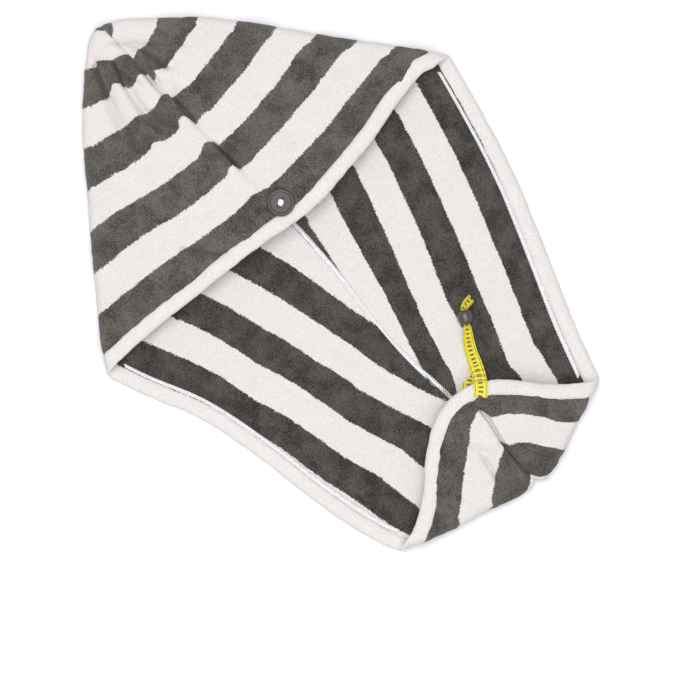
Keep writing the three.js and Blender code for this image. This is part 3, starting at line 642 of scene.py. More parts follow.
smoothLooks = {  # noises as scale, detail and roughness; the bump as depth and strength
    "glossyThread": {
        "finish": {"Roughness": 0.42, "Sheen_Weight": 0.15, "Coat_Weight": 0.1},
        "cloud": (900.0, 3.0, 0.7), "contrast": (0.3, 0.54),
        "colours": ((0.50, 0.51, 0.55, 1), (0.98, 0.98, 1, 1)), "bump": (0.0003, 0.6),
    },
    "buttonResin": {
        "finish": {"Roughness": 0.48, "Coat_Weight": 0.08, "Coat_Roughness": 0.35},
        "cloud": (160.0, 4.0, 0.6), "grain": (900.0, 2.0),
        "colours": ((0.024, 0.017, 0.016, 1), (0.054, 0.041, 0.039, 1)), "bump": (0.0001, 0.5),
    },
    "beadPlastic": {
        "finish": {"Roughness": 0.33, "Coat_Weight": 0.2, "Coat_Roughness": 0.25},
        "cloud": (220.0, 3.0, 0.6), "grain": (700.0, 2.0),
        "colours": ((0.045, 0.038, 0.036, 1), (0.094, 0.080, 0.075, 1)), "bump": (0.0002, 0.4),
    },
}


def smoothMaterial(name):
    # Two colours clouded by a noise, which is the bump as well where there is no grain
    look = smoothLooks[name]
    material, tree, place = startMaterial(name, **look["finish"])
    cloud = noiseNode(tree, place, *look["cloud"])
    if "contrast" in look:
        cloud = rampNode(tree, cloud, *look["contrast"])
    grain = noiseNode(tree, place, *look["grain"]) if "grain" in look else cloud
    paint(tree, mixColour(tree, cloud, *look["colours"]), grain, *look["bump"])
    return material


ribbonPrint = {
    "yellow": (0.84, 0.74, 0.045, 1),
    "shade": (0.60, 0.52, 0.03, 1),
    "line": (0.045, 0.042, 0.012, 1),
    "edgeLine": (0.74, 0.82),    # shares of the half width
    "edgeBlur": 0.02,
    "inkShare": 0.9,
    "dashWidth": 0.34,
    "dashEvery": 0.0040,
    "dashShare": 0.42,
    "dashBlur": (0.04, 0.05),    # along and across
    "ribEvery": 0.0011,
    "ribShare": 0.22,
    "weave": (900.0, 2.0),
    "bump": (0.0003, 0.7),
}


def ribbonMaterial():
    # Ribbed grosgrain with a fine line along each edge and a row of dashes down the middle;
    # ribbonAlong is in metres and ribbonAcross runs from -1 to 1
    material, tree, place = startMaterial(
        "yellowRibbon", Roughness=0.55, Sheen_Weight=0.2, Sheen_Roughness=0.4)
    along, across = attributeNode(tree, "ribbonAlong"), attributeNode(tree, "ribbonAcross")
    off = mathNode(tree, "ABSOLUTE", across)
    low, high = ribbonPrint["edgeLine"]
    blur = ribbonPrint["edgeBlur"]
    edge = mathNode(tree, "MULTIPLY", rampNode(tree, off, low - blur, low + blur),
                    rampNode(tree, off, high + blur, high - blur))
    turn = mathNode(tree, "FRACT", mathNode(tree, "DIVIDE", along, ribbonPrint["dashEvery"]))
    share, width = ribbonPrint["dashShare"], ribbonPrint["dashWidth"]
    longBlur, wideBlur = ribbonPrint["dashBlur"]
    dash = mathNode(tree, "MULTIPLY", rampNode(tree, turn, share + longBlur, share - longBlur),
                    rampNode(tree, off, width + wideBlur, width - wideBlur))
    marks = mathNode(tree, "MULTIPLY", mathNode(tree, "MAXIMUM", edge, dash), ribbonPrint["inkShare"])
    ribs = mathNode(tree, "SINE", mathNode(tree, "MULTIPLY", along, 2 * math.pi / ribbonPrint["ribEvery"]))
    fibres = noiseNode(tree, place, *ribbonPrint["weave"])
    weave = mathNode(tree, "MULTIPLY_ADD", ribs, ribbonPrint["ribShare"], fibres)
    woven = mixColour(tree, weave, ribbonPrint["shade"], ribbonPrint["yellow"])
    paint(tree, mixColour(tree, marks, woven, ribbonPrint["line"]), weave, *ribbonPrint["bump"])
    return material


materials = {  # by slot
    "striped_plush": stripedPlushMaterial(),
    "yellow_ribbon": ribbonMaterial(),
    "white_plush": whitePlushMaterial(),
    "overlock_thread": smoothMaterial("glossyThread"),
    "button_resin": smoothMaterial("buttonResin"),
    "bead_plastic": smoothMaterial("beadPlastic"),
}
print("turban: materials made")

# Side panels
cloth = {
    "girths": (0.02, 4.98),
    "girthRows": 420,
    "evenAt": 0.3,           # share across at which the rows are evenly spaced
    "acrossRows": 112,
    "seamCrowding": 1.25,    # power that sets columns closer beside the seam
    "seamDip": 0.0013,       # edges turned in along the seam
    "seamSoft": 0.0020,
    "wrinkle": 0.0025,
    "wrinkleSize": 0.034,
    "ripple": 0.0008,
    "rippleSize": 0.013,
    "pile": 0.0004,
    "pileSize": 0.0042,
    "fullCrease": 0.0050,    # depth of a crease whose bottom gets the full painted shade
    # width of the painted shade line along a crease's bottom
    "creaseLine": 0.0011,
    "hemMiddle": 6.75,       # millimetres from the cloth's edge to the middle of the rolled hem
    "seamReach": 0.15,       # share across over which the seam's own distances fade out
    "flatWidth": 0.236,      # one panel opened out: from the seam to the hem, and along the seam
    "flatLength": 0.66,
    "flatArea": 0.113,
}
# Distance from the hem in the flat cloth, along the seam and well off it: girths, then millimetres
hoodSeam = ((0, 0.1415, 0.2618, 0.3817, 0.507, 0.638, 0.7278, 0.8334, 0.962),
            (6.75, 40.5, 67.9, 95.2, 122.6, 149.9, 177.3, 204.7, 232))
hemReach = {
    "left": {
        "seam": ((1, 2, 2.44, 2.68, 2.845, 3, 4, 4.389, 4.798, 5),
                 (234, 234, 178, 150, 122.6, 121, 94, 68.2, 40.9, 6.75)),
        "side": ((0, 1, 2, 2.44, 2.68, 2.82, 3, 4, 5),
                 (6.75, 229.5, 229.5, 178, 150, 122.6, 121, 121, 6.75)),
    },
    "right": {
        "seam": ((1, 2, 2.44, 2.60, 2.772, 2.832, 3, 4, 4.389, 4.798, 5),
                 (237.5, 237.5, 190, 177.3, 150, 122.6, 123, 94, 68.2, 40.9, 6.75)),
        "side": ((0, 1, 2, 2.44, 2.542, 2.722, 2.821, 3, 4, 5),
                 (6.75, 247.5, 247.5, 190, 177.3, 150, 122.6, 123, 125, 6.75)),
    },
}
# Stretch of the laid cloth: girth, then millimetres added at shares across of 0, 0.2 ... 1
stretch = {
    "left": (
        (0, 0, 0, 2, 0, 0, 0), (0.1, 0, 1, 3, 0, 1.5, 1), (0.26, -1, 4, 6, 7, 5, 3),
        (0.42, -6, 6.5, 8, 7.5, 6, 3), (0.58, -2, 7, 8, 7.5, 4.5, 2), (0.74, -6, 5.5, 8, 4, 4, 3),
        (0.9, -8, 3, 5, 1.5, 3.5, 3), (1.06, -2, 2, 1.5, 1, 3, 3), (1.22, 1, 3, 2, 2, 3, 3),
        (2.2, 0, 3, 5, 5, 2, 1), (2.35, 0, 2, 3, 2, 0, 0), (2.45, -1, 0, 1, 1.5, 1, -1),
        (2.55, -3, -1.5, -1, -3.5, -4, -4.5), (2.65, -3, -5, -6, -6, -6, -5.5),
        (2.75, -4, -4.5, -5, -5, -6, -6.5), (2.85, -2, -2.5, -2, -4, -5.5, -6.5),
        (2.95, 0, -1, -1, -3, -4, -4.5), (3.8, 0, -9, -10, -6, -2, 0), (4, 0, -8, -9, -5, -1, 0),
        (4.1, 0, -6, -7, -1, 0, 0), (4.25, 0, -3, -3, 2, 2, 2), (4.4, 2, 0.5, 2, 4, 3, 3),
        (4.56, 2, 6, 6, 5, 4, 3), (4.72, 2, 12, 12, 7, 4, 3), (4.87, 3, 16, 12, 5, 4, 3),
        (5, 0, 0, 0, 0, 0, 0),
    ),
    "right": (
        (0, 0, 0, 2, 0, 0, 0), (0.1, -1, 2, 3, 3, 2, 1), (0.26, 1, 4, 3.5, 3.5, 2, 1),
        (0.42, 1, 3, 4, 4, 4, 3), (0.58, 1.5, 4, 4.5, 4, 5.5, 5), (0.74, 0, 2, 5.5, 6, 6.5, 7),
        (0.9, 0, 2, 3.5, 3, 6, 9), (1.06, 0, -1.5, -0.5, 0.5, 4, 5), (1.22, 1, 0, 0, 1.5, 5, 5),
        (2.25, 0, -1, -1, 0, 2, 1), (2.35, -1, -1.5, -1, 0, 1, 0), (2.45, -2, -4, -3, -1.5, 0, -1),
        (2.55, -0.5, -4.5, -4.5, -1.5, -1, -1), (2.65, 0.5, -4, -5, -1.5, -0.5, -1.5),
        (2.75, 0, -4.5, 0, -1, -1, -1), (2.85, 0, 0, 0, 0.5, 0.5, -1.5), (2.95, 0, 0, 0, -0.5, -1, -2.5),
        (3.8, 0, -9, -13, -7, -4, 0), (4, 0, -9, -13, -8, -4, 0), (4.1, 0, -7, -10, -5, -2, 0),
        (4.25, 0, -2.5, -3, 3, 3, 2), (4.4, 3, 1, 4, 6, 5, 3), (4.56, 2, 4, 5.5, 6, 4, 3),
        (4.72, 0, 3, 3, 3.5, 1.5, 2), (4.87, 0, 2, 0, 3, 3.5, 3), (5, 0, 0, 0, 0, 0, 0),
    ),
}
creases = (  # millimetres: from x, from y, to x, to y, depth, spread, lip beside it
    (20.9, -13.7, 49.1, -27.3, 6.2, 2.2, 2.2), (49.1, -27.3, 78.7, -38.5, 2.6, 3.2, 1.2),
    (31.7, -0.3, 55.2, -10.4, 6, 2.2, 2.2), (58.6, -9.8, 84.1, -14, 3, 3, 1.2),
    (47.3, 11.1, 72.8, 10.9, 5.6, 2, 2), (72.8, 10.9, 85.6, 8.8, 2.8, 2.6, 1),
    (43.3, 24.5, 69.5, 29.1, 5.6, 1.9, 1.8), (86.1, -10.6, 100.2, -8.7, 4.2, 3, 1.2),
    (100.2, -8.7, 115.1, -2, 4, 2.8, 1.2), (93.6, 14.2, 121.1, 13.3, 4.6, 1.7, 1.4),
    (147.9, 10.5, 178.9, 11.8, 4, 1.6, 1.4), (17.7, 9.9, 41.6, 31.6, 2.4, 1.8, 0.8),
    (41.6, 31.6, 66.9, 54.7, 2.2, 3.4, 1), (81.9, -34.7, 106.8, -36.9, 2.2, 3.4, 1),
    (193.1, -77.2, 224.4, -53.8, 2.8, 2, 1.2), (482.4, 10.5, 497.1, 8.6, 3, 2.2, 1),
    (497.1, 8.6, 518.7, 2.1, 2.8, 1.8, 1), (518.7, 2.1, 557.5, -1.3, 2.6, 1.6, 0.9),
    (513, -19, 542, -24, 2.2, 2.2, 1), (495.1, -26.3, 520.3, -8.1, 1.6, 2.4, 0.8),
    (544.5, 13.9, 572.9, 34.4, 1.4, 2.4, 0.8),
)
ridges = (  # millimetres, as above, but height, spread, draw: stripes are drawn towards the tip
    (23.5, -7.1, 52.1, -14.2, 4.2, 6.4, 7.2), (38.8, 5.6, 61.8, 8, 3.6, 6, 5.6),
    (44.6, 18.9, 71.4, 20, 4, 5.4, 5.6), (86.6, 8.5, 112.7, 5.2, 3.8, 5.8, 6),
    (83.9, -22, 116.3, -27.9, 1.8, 6.6, 3), (143.8, 4.4, 174.4, 5.6, 2.2, 5.2, 3.4),
)


def stretchAt(name, girth, across):
    # Between the table's rows by girth, then between its columns by the share across
    rows = np.array(stretch[name])
    columns = np.stack([np.interp(girth, rows[:, 0], rows[:, k]) for k in range(1, rows.shape[1])], -1)
    place = np.clip(across * (columns.shape[-1] - 1), 0, columns.shape[-1] - 1.001)
    low = place.astype(int)[..., None]
    part = place - low[..., 0]
    return (np.take_along_axis(columns, low, -1)[..., 0] * (1 - part)
            + np.take_along_axis(columns, low + 1, -1)[..., 0] * part)


def hemDistanceAt(name, girth, across):
    # hem + (D - hem)(1 - across) + stretch, where D is the distance along the seam
    rows = hemReach[name]
    seam = np.interp(girth, *(hood + rest for hood, rest in zip(hoodSeam, rows["seam"])))
    side = np.interp(girth, *rows["side"])
    near = np.exp(-(across / cloth["seamReach"]) ** 2)
    farthest = seam * near + side * (1 - near)
    middle = cloth["hemMiddle"]
    return (middle + (farthest - middle) * (1 - across) + stretchAt(name, girth, across)) / 1000


def creaseDepth(plan):
    # Sharp line sunk by depth, with a lip raised beside it, fading out past its ends; and how near
    # each point is to the bottom of one, from 0 to 1, where the material paints shade
    depth, bottom = np.zeros(plan.shape[:-1]), np.zeros(plan.shape[:-1])
    for fromX, fromY, toX, toY, deep, spread, lip in np.array(creases) / 1000:
        share, aside, _ = lineFrame(plan, fromX, fromY, toX, toY)
        fade = smooth(share / 0.2 + 0.6) * smooth((1 - share) / 0.2 + 0.6)
        beside = (np.abs(aside) - 2.4 * spread) / (1.6 * spread)
        depth += fade * (deep * np.exp(-(aside / spread) ** 2) - lip * np.exp(-beside ** 2))
        strength = min(deep / cloth["fullCrease"], 1)
        bottom = np.maximum(bottom, fade * strength * np.exp(-(aside / cloth["creaseLine"]) ** 2))
    return depth, bottom


def ridgeShape(plan):
    # Height and draw of the gathers: each times exp(-(distance to the line / spread)^2)
    height, draw = np.zeros(plan.shape[:-1]), np.zeros(plan.shape[:-1])
    for fromX, fromY, toX, toY, high, spread, drawn in np.array(ridges) / 1000:
        near = np.exp(-(lineFrame(plan, fromX, fromY, toX, toY)[2] / spread) ** 2)
        height += high * near
        draw += drawn * near
    return height, draw


def clothGrid(name):
    # Middle surface of a panel on an even grid, its normal towards the inside, girths and shares
    surface, side = surfaces[name], sides[name]
    trial = np.linspace(*cloth["girths"], 4000)
    tuck = towel["hemWidth"] / 2 - towel["hemTuck"]
    inside = trial[1 - tuck / hemFrame(surface, trial)[2] > 0.01]
    girth = np.linspace(inside[0], inside[-1], 3000)
    run = runAlong(surface(girth, np.full(3000, cloth["evenAt"])))
    girth = np.interp(np.linspace(0, run[-1], cloth["girthRows"]), run, girth)
    edge = np.maximum(1 - tuck / hemFrame(surface, girth)[2], 0.01)
    columns = np.linspace(0, 1, cloth["acrossRows"]) ** cloth["seamCrowding"]
    across = edge[:, None] * columns[None, :]
    girths = np.broadcast_to(girth[:, None], across.shape)
    middle = surface(girths, across)
    normal = unit(np.cross(np.gradient(middle, axis=0), np.gradient(middle, axis=1)) * side["turn"])
    return middle, normal, girths, across


def buildCloth(name):
    # Outer and inner face half a wall from the middle surface, each with its own pile
    middle, normal, girths, across = clothGrid(name)
    toSeam = np.linalg.norm(middle - middle[:, :1], axis=-1)
    onTop = smooth((middle[..., 2] - 0.006) / 0.006)
    height, draw = ridgeShape(middle[..., :2])
    depth, bottom = creaseDepth(middle[..., :2])
    sink = (depth - height) * onTop
    sink += cloth["seamDip"] * np.exp(-(toSeam / cloth["seamSoft"]) ** 2)
    move = cloth["wrinkle"] * latticeNoise(middle, cloth["wrinkleSize"], "wrinkle")
    move += cloth["ripple"] * latticeNoise(middle, cloth["rippleSize"], "ripple")
    shift = (sink + move * (0.4 + 0.6 * onTop))[..., None] * normal
    half = towel["wall"] / 2
    faces = []
    for way, kind in ((-1, "outerPile"), (1, "innerPile")):
        pile = cloth["pile"] * latticeNoise(middle, cloth["pileSize"], kind)[..., None]
        faces.append(middle + shift + way * normal * (half + pile))
    outer, inner = faces
    outer[..., 2] = np.maximum(outer[..., 2], towel["groundGap"])
    rings = np.concatenate([outer, inner[:, ::-1]], axis=1) + originShift
    points, quads = tubeParts(rings)
    hemDistance = hemDistanceAt(name, girths, across) - draw * onTop
    attributes = {}
    for key, onOuter, onInner in (("hemDistance", hemDistance, hemDistance[:, ::-1]),
                                  # inside marks the inner face, which takes darker colours, partly painted
                                  # shade
                                  ("inside", 0 * across, 0 * across + 1),
                                  # crease holds the painted shade at the bottoms of the creases
                                  ("crease", bottom * onTop, bottom * onTop)):
        values = np.concatenate([onOuter, onInner], axis=1)
        attributes[key] = np.concatenate([values.ravel(), [values[0, 0], values[-1, 0]]])
    return buildPiece(name + "Cloth", "striped_plush", [name + "_panel"], points, quads, **attributes)


clothPieces = {name: buildCloth(name) for name in ("left", "right")}
print("turban: panels made")

# Rolled hem
hem = {
    "stations": 900,
    "sides": 24,
    "swell": 0.05,           # share of its width that it swells and pinches
    "swellSize": 0.026,
    "twist": 0.0004,
    "twistSize": 0.009,
    "pile": 0.0003,
    "pileSize": 0.0036,
}


def buildHem():
    # The oval swells and pinches a little, and its skin is moved in and out by two noises
    centres, sections = hemRings(hem["stations"], hem["sides"])
    swell = 1 + hem["swell"] * latticeNoise(centres, hem["swellSize"], "swell")[:, None, None]
    rings = centres[:, None] + sections * swell
    move = hem["twist"] * latticeNoise(rings, hem["twistSize"], "twist")
    move += hem["pile"] * latticeNoise(rings, hem["pileSize"], "hemPile")
    rings = rings + unit(sections) * move[..., None]
    rings[..., 2] = np.maximum(rings[..., 2], towel["groundGap"])
    points = (rings + originShift).reshape(-1, 3)
    faces = [gridFaces(rings.shape[0], hem["sides"], wrapRows=True, wrapColumns=True)]
    return buildPiece("hemRoll", "white_plush", ["rolled_hem"], points, faces)


hemPiece = buildHem()
print("turban: hem made")

# Thread that binds the seam inside, and the stitches along the inner edge of the hem
stitches = {
    "pitch": 0.0024,
    "threadRadius": 0.00034,
    "sides": 5,
    "pointsPerPitch": 6,
    "seamShares": (0.05, 0.95),  # from the hood's fold to the tail's
    "seamRows": 240,
    "seamWidth": ((0, 0.42, 0.5, 0.56, 0.62, 0.7, 0.76, 0.82, 0.9, 1),
                  (0.0044, 0.0046, 0.0044, 0.0032, 0.0018, 0.0018, 0.0030, 0.0042, 0.0042, 0.0040)),
    "uneven": 0.0004,
    "unevenSize": 0.012,
    "seamClear": 0.0003,
    "tape": 0.0007,          # thickness of the strip under the threads
    "hemClear": 0.0006,
    "tapeShare": 0.72,       # of the line's width
    "hemGap": 0.0092,        # middle of the hem to the middle of its stitches
    "hemStitchWidth": 0.0033,
    "hemGirths": (2.03, 2.97),
}


def zigzag(share, count):
    # Triangle wave from -1 to 1, with its corners rounded
    wave = 2 / math.pi * np.arcsin(0.94 * np.sin(2 * math.pi * share * count))
    return wave / np.abs(wave).max()


def stitchLine(base, sideways, up, width):
    # A flat strip along a line, a zigzag of thread over it, and a chain of small turns along each
    # of its edges. The strip is an oval of eight corners that lies on the line.
    tape = stitches["tape"]
    half = width[:, None, None] / 2 * stitches["tapeShare"]
    angle = roundTurn(8)
    rise = tape / 2 * (1 + np.sin(angle))
    strip = tubeParts(base[:, None] + sideways[:, None] * (half * np.cos(angle)[:, None])
                      + up[:, None] * rise[:, None])
    centre = base + up * tape
    count = int(runAlong(centre)[-1] / stitches["pitch"])
    share = np.linspace(0, 1, count * stitches["pointsPerPitch"] + 1)
    spread = np.linspace(0, 1, len(centre))
    at = np.array([np.interp(share, spread, values) for values in (*centre.T, *sideways.T, *up.T, width)])
    middle, across, rise, half = at[0:3].T, at[3:6].T, at[6:9].T, at[9][:, None] / 2
    radius = stitches["threadRadius"]
    wave = zigzag(share, count)[:, None]
    path = middle + across * half * wave + rise * radius * (1.4 - wave ** 2)
    parts = [strip, tubeParts(sweep(path, radius, stitches["sides"], rise))]
    for way, phase in ((-1, 0.0), (1, 0.5)):
        angle = 2 * math.pi * (share * count + phase)[:, None]
        chain = middle + across * (way * half + radius * 1.2 * np.cos(angle))
        chain = chain + rise * radius * (1 + 1.1 * np.sin(angle))
        parts.append(tubeParts(sweep(chain, radius * 0.9, stitches["sides"], rise)))
    return parts


def buildSeamThread():
    # The binding lies right of the seam, wide at both ends and turned on its edge midway
    rows = stitches["seamRows"]
    share = np.linspace(0, 1, rows)
    low, high = stitches["seamShares"]
    edge = surfaces["right"](2 + low + (high - low) * share, np.zeros(rows))
    width = curveThrough(*stitches["seamWidth"])(share)
    width = width + stitches["uneven"] * latticeNoise(edge, stitches["unevenSize"], "binding")
    up, sideways = np.tile([0.0, 0.0, 1.0], (rows, 1)), np.tile([0.0, 1.0, 0.0], (rows, 1))
    base = edge + sideways * width[:, None] / 2
    base[:, 2] += towel["wall"] / 2 + stitches["seamClear"]
    parts = stitchLine(base + originShift, sideways, up, width)
    return buildPiece("seamThread", "overlock_thread", ["seam_overlock"], *joinParts(parts))


def buildHemStitches():
    parts = []
    for name in ("left", "right"):
        surface = surfaces[name]
        girth = np.linspace(*stitches["hemGirths"], 400)
        _, _, reach = hemFrame(surface, girth)
        aside = (0.001, 0, -0.001)
        line = [surface(girth, 1 - (stitches["hemGap"] + offset) / reach) for offset in aside]
        sideways = unit(line[2] - line[0])
        up = unit(np.cross(np.gradient(line[1], axis=0), sideways))
        up *= np.sign(up[:, 2:])
        width = np.full(len(girth), stitches["hemStitchWidth"])
        base = line[1] + up * (towel["wall"] / 2 + stitches["hemClear"])
        parts += stitchLine(base + originShift, sideways, up, width)
    return buildPiece("hemStitches", "overlock_thread", [], *joinParts(parts))


seamThread, hemStitches = buildSeamThread(), buildHemStitches()
print("turban: stitches made")


def nodePoints(name):
    # A CAD node's corners
    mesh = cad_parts[name].data
    corners = np.empty(len(mesh.vertices) * 3, np.float32)
    mesh.vertices.foreach_get("co", corners)
    return corners.reshape(-1, 3).astype(float)


# Button
button = {
    "diameter": 0.0245,
    "thickness": 0.0032,
    "rimWidth": 0.003,
    "rimHeight": 0.0006,
    "dish": 0.0005,
    "holeSpacing": 0.0058,
    "holeRadius": 0.0019,
    "holeDepth": 0.0030,
    "holeRound": 0.0004,
    "edgeRound": 0.0008,
    "skin": 0.0002,          # least thickness under the holes
    "turn": -68,             # degrees from X to the line of the holes
    "angles": 120,
    "strands": 7,
    "strandRadius": 0.00042,
    "strandSpread": 0.0040,
    "strandRise": 0.0010,
}


def buttonSeat():
    # Underside's middle, the two directions in its plane and its normal, from the CAD button
    corners = nodePoints("button")
    centre = corners.mean(0)
    normal = np.linalg.svd(corners - centre)[2][2]
    normal *= np.sign(normal[2])
    turn = math.radians(button["turn"])
    first = np.array([math.cos(turn), math.sin(turn), 0])
    first = unit(first - normal * (first @ normal))
    low = ((corners - centre) @ normal).min()
    return centre + normal * low, first, np.cross(normal, first), normal


def buildButton():
    # A profile turned round the axis: flat underside, round rim, dished face with two wells sunk
    # where the distance to a hole is under its radius
    seat, first, second, normal = buttonSeat()
    radius, thick, rim = button["diameter"] / 2, button["thickness"], button["rimHeight"]
    skin, edge = button["skin"], button["edgeRound"]
    under = np.stack([np.linspace(skin, radius - edge, 8), np.zeros(8)], -1)
    turn = np.linspace(-math.pi / 2, 0, 7)[1:]
    lowEdge = np.stack([radius - edge + edge * np.cos(turn), edge + edge * np.sin(turn)], -1)
    turn = np.linspace(0, math.pi, 22)
    half = button["rimWidth"] / 2
    rimTop = np.stack([radius - half + half * np.cos(turn),
                       thick - skin + (rim + skin) * np.sin(turn) ** 0.8], -1)
    reach = np.linspace(radius - button["rimWidth"], 0.0001, 58)[1:]
    face = np.stack([reach, thick - skin - button["dish"] * (1 - (reach / reach[0]) ** 2)], -1)
    profile = np.concatenate([under, lowEdge, rimTop, face])
    angle = roundTurn(button["angles"])
    x, y = profile[:, :1] * np.cos(angle), profile[:, :1] * np.sin(angle)
    z = np.broadcast_to(profile[:, 1:], x.shape).copy()
    away = np.hypot(np.abs(x) - button["holeSpacing"] / 2, y)
    sink = button["holeDepth"] * smooth((button["holeRadius"] - away) / button["holeRound"] + 0.375)
    onFace = np.arange(len(profile))[:, None] >= len(profile) - len(face)
    z = np.where(onFace, np.maximum(z - sink, skin), z)
    rings = seat + x[..., None] * first + y[..., None] * second + z[..., None] * normal
    return buildPiece("sewnButton", "button_resin", ["button"], *tubeParts(rings))


def buildButtonThread():
    # Strands side by side, each up out of one hole, over the face and down the other
    seat, first, second, normal = buttonSeat()
    turn = np.linspace(-1, 1, 25)
    top = button["thickness"] - button["dish"] + button["strandRise"]
    parts = []
    for k in range(button["strands"]):
        side = (k / (button["strands"] - 1) - 0.5) * button["strandSpread"]
        out = button["holeSpacing"] / 2 * np.sign(turn) * np.abs(turn) ** 0.7
        rise = top - 0.0022 * np.abs(turn) ** 5 - 0.0002 * (k % 2)
        rise = rise - 0.00018 * (2 * side / button["strandSpread"]) ** 2
        aside = side * (1 - 0.45 * turn ** 2) + 0.0002 * np.sin(3 * turn + k)
        path = seat + out[:, None] * first + aside[:, None] * second + rise[:, None] * normal
        parts.append(tubeParts(sweep(path, button["strandRadius"], 10, normal)))
    return buildPiece("buttonStrands", "overlock_thread", ["button_thread"], *joinParts(parts))


buttonPiece, buttonThread = buildButton(), buildButtonThread()
print("turban: button made")

# Ribbon loop and bead
ribbon = {
    "width": 0.0125,
    "thickness": 0.0005,
    "loopAside": 0.0125,     # seam to the ribbon, along the hem
    "loopAngle": 35,         # degrees between the ribbon and the seam
    "rows": 260,
    "columns": 41,
    "gather": 0.0012,        # depth of the waves where it is gathered
    "flutter": 0.0003,
    "crumple": 0.0016,       # depth of those in the tab beyond the bead
    "crumpleFrom": 0.0727,
    "crumpleRamp": 0.004,
    "beadOut": 0.0662,       # hem's middle to the bead's centre
    "beadAside": 0.0020,
    "beadHeight": 0.0101,
    "beadLength": 0.0128,
    "beadDiameter": 0.0138,
    "beadBore": 0.0056,
    "beadFullness": 0.85,
    "beadSpokes": 64,
}
frontRun = {  # millimetres out from the hem, and left of the straight way; and shares of the width
    "out": (-6.3, 0, 7.7, 14.7, 24, 33.4, 42.8, 52.1, 56.8, 60.5, 72.2, 75, 78.5, 82.2),
    "aside": (2.4, 0.4, -0.2, -0.3, 0.8, 2.3, 3, 2.5, 2.1, 2, 2.6, 2, -1.8, -6.6),
    "width": (1, 1, 1, 0.99, 0.98, 0.90, 0.86, 0.70, 0.59, 0.42, 0.38, 0.40, 0.44, 0.38),
}
backRun = {
    "out": (-6.9, 1.4, 14, 17, 20.5, 29, 45.5, 57.8),
    "aside": (11, 10.4, 7, 5, 2.2, 1.2, 2.6, 2),
    "width": (1, 1, 1, 0.92, 0.84, 0.70, 0.60, 0.42),
}


def ribbonFrame():
    # Where the ribbon crosses the hem, its way to the bead and the direction to its left
    girth = np.linspace(4, 5, 2000)
    line = surfaces["right"](girth, 1)
    start = line[np.linalg.norm(line - line[-1], axis=-1) >= ribbon["loopAside"]][-1] + originShift
    angle = math.radians(180 - ribbon["loopAngle"])
    heading = np.array([math.cos(angle), math.sin(angle), 0])
    return np.array([start[0], start[1], 0]), heading, np.array([-heading[1], heading[0], 0])


def buildRibbon(name, node, rows, phase, crumple):
    # Middle line through the table, as high as the CAD's run, with the width in waves where it is
    # gathered: offset = depth * cos(3.5 pi across)
    start, heading, leftward = ribbonFrame()
    corners = nodePoints(node) - start
    cornerOut = corners @ heading
    tableOut, tableAside = np.array(rows["out"]) / 1000, np.array(rows["aside"]) / 1000
    out = np.linspace(tableOut[0], tableOut[-1], ribbon["rows"])
    window = np.exp(-((out[:, None] - cornerOut) / 0.0016) ** 2) + 1e-12
    height = window @ corners[:, 2] / window.sum(1)
    aside, width = curveThrough(tableOut, tableAside)(out), curveThrough(tableOut, rows["width"])(out)
    middle = start + out[:, None] * heading + aside[:, None] * leftward
    middle[:, 2] = height
    along = unit(np.gradient(middle, axis=0))
    sideways = unit(np.cross([0, 0, 1], along))
    through = np.cross(along, sideways)
    across = np.linspace(-1, 1, ribbon["columns"])
    gathered = np.sqrt(np.maximum(1 - np.minimum(width, 1) ** 2, 0))
    past = smooth((out - ribbon["crumpleFrom"]) / ribbon["crumpleRamp"])
    past = past * crumple * ribbon["crumple"]
    wave = (gathered * ribbon["gather"])[:, None] * np.cos(3.5 * math.pi * across)
    wave = wave + past[:, None] * np.sin(5.2 * across + 1.5 + out[:, None] * 500)
    wave = wave + ribbon["flutter"] * np.sin(2.2 * across + out[:, None] * 110 + phase)
    half = ribbon["width"] / 2 * width
    skewed = heading * past[:, None, None] * across[:, None]
    surface = (middle[:, None] + sideways[:, None] * (half[:, None] * across)[..., None]
               + through[:, None] * wave[..., None] + skewed)
    alongRun = runAlong(surface[:, ribbon["columns"] // 2])
    lift = through[:, None] * ribbon["thickness"] / 2
    rings = np.concatenate([surface + lift, (surface - lift)[:, ::-1]], axis=1)
    acrossValues = np.tile(np.concatenate([across, across[::-1]]), (ribbon["rows"], 1)).ravel()
    alongValues = np.repeat(alongRun, 2 * ribbon["columns"])
    return buildPiece(name, "yellow_ribbon", [node], *tubeParts(rings),
                      ribbonAcross=np.concatenate([acrossValues, [0, 0]]),
                      ribbonAlong=np.concatenate([alongValues, [0, alongRun[-1]]]))


def buildBead():
    # Barrel turned round the ribbon: half its width is bore + (radius - bore) cos(angle)^fullness,
    # closed by the bore
    start, heading, leftward = ribbonFrame()
    centre = start + heading * ribbon["beadOut"] + leftward * ribbon["beadAside"]
    centre[2] = ribbon["beadHeight"]
    turn = np.linspace(-math.pi / 2, math.pi / 2, 30)
    bore, radius = ribbon["beadBore"] / 2, ribbon["beadDiameter"] / 2
    width = bore + (radius - bore) * np.cos(turn[1:-1]) ** ribbon["beadFullness"]
    outer = np.stack([width, ribbon["beadLength"] / 2 * np.sin(turn[1:-1])], -1)
    inner = np.stack([np.full(8, bore), np.linspace(0.5, -0.5, 8) * ribbon["beadLength"]], -1)
    profile = np.concatenate([outer, inner])
    angle = roundTurn(ribbon["beadSpokes"])
    spokes = np.cos(angle)[:, None] * leftward + np.sin(angle)[:, None] * np.array([0, 0, 1])
    rings = centre + profile[:, 0, None, None] * spokes + profile[:, 1, None, None] * heading
    faces = [gridFaces(len(profile), ribbon["beadSpokes"], wrapRows=True, wrapColumns=True)]
    return buildPiece("cordBead", "bead_plastic", ["loop_bead"], rings.reshape(-1, 3), faces)


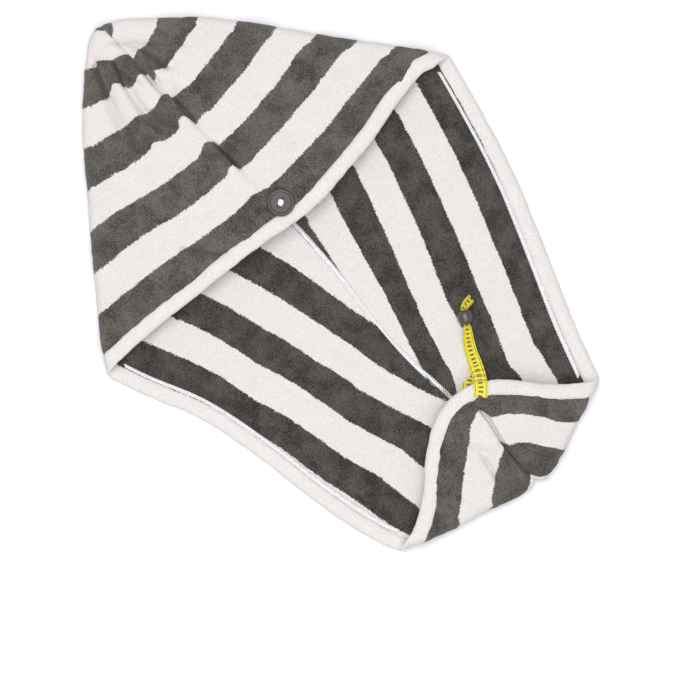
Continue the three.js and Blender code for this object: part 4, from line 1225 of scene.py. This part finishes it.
ribbonPieces = [
    buildRibbon("ribbonFront", "ribbon_front", frontRun, 0, 1),
    buildRibbon("ribbonBack", "ribbon_back", backRun, 2, 0),
]
bead = buildBead()
print("turban: ribbon loop made")

for name, others in (("left", [hemPiece, buttonPiece, buttonThread]),
                     ("right", [seamThread, hemStitches, bead] + ribbonPieces)):
    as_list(others)

# Floor, light and camera
view = {
    "middle": (0.3511, -0.0347),  # middle of the picture, from the seam's end at the hood's tip
    "width": 0.612,
    "distance": 3.0,
    "turn": 44.74,                # degrees from X to the picture's right
}


viewCentre = (view["middle"][0] + originShift[0], view["middle"][1] + originShift[1])


def buildStage():
    size = 4.0
    corners = np.array([[-size, -size, 0], [size, -size, 0], [size, size, 0], [-size, size, 0]])
    material = startMaterial("paleFloor", Roughness=0.9, Base_Color=(0.82, 0.825, 0.85, 1))[0]
    mesh = bpy.data.meshes.new("floor")
    mesh.from_pydata(corners.tolist(), [], [(0, 1, 2, 3)])
    mesh.materials.append(material)
    addObject("floor", mesh)


def addLight(name, place, energy, size, colour):
    light = bpy.data.lights.new(name, "AREA")
    light.energy, light.size, light.color = energy, size, colour
    lamp = addObject(name, light)
    lamp.location = place
    direction = np.array([*viewCentre, 0]) - np.array(place)
    lamp.rotation_euler = (
        math.atan2(math.hypot(direction[0], direction[1]), -direction[2]), 0,
        math.atan2(direction[1], direction[0]) - math.pi / 2)


def buildLightAndCamera():
    addLight("keyLight", (-0.5, 0.1, 2.75), 62, 2.0, (1, 0.985, 0.96))
    addLight("fillLight", (1.1, -0.7, 2.3), 26, 2.0, (0.95, 0.97, 1))
    world = bpy.data.worlds.new("studio")
    world.use_nodes = True
    sky = world.node_tree.nodes["Background"].inputs
    sky["Color"].default_value, sky["Strength"].default_value = (0.97, 0.98, 1, 1), 0.42
    bpy.context.scene.world = world
    camera = bpy.data.cameras.new("camera")
    camera.lens = camera.sensor_width * view["distance"] / view["width"]
    holder = addObject("camera", camera)
    holder.location = (*viewCentre, view["distance"])
    holder.rotation_euler = (0, 0, math.radians(view["turn"]))
    bpy.context.scene.camera = holder
    bpy.context.scene.view_settings.view_transform = "Standard"


buildStage()
buildLightAndCamera()
print("turban: stage ready")
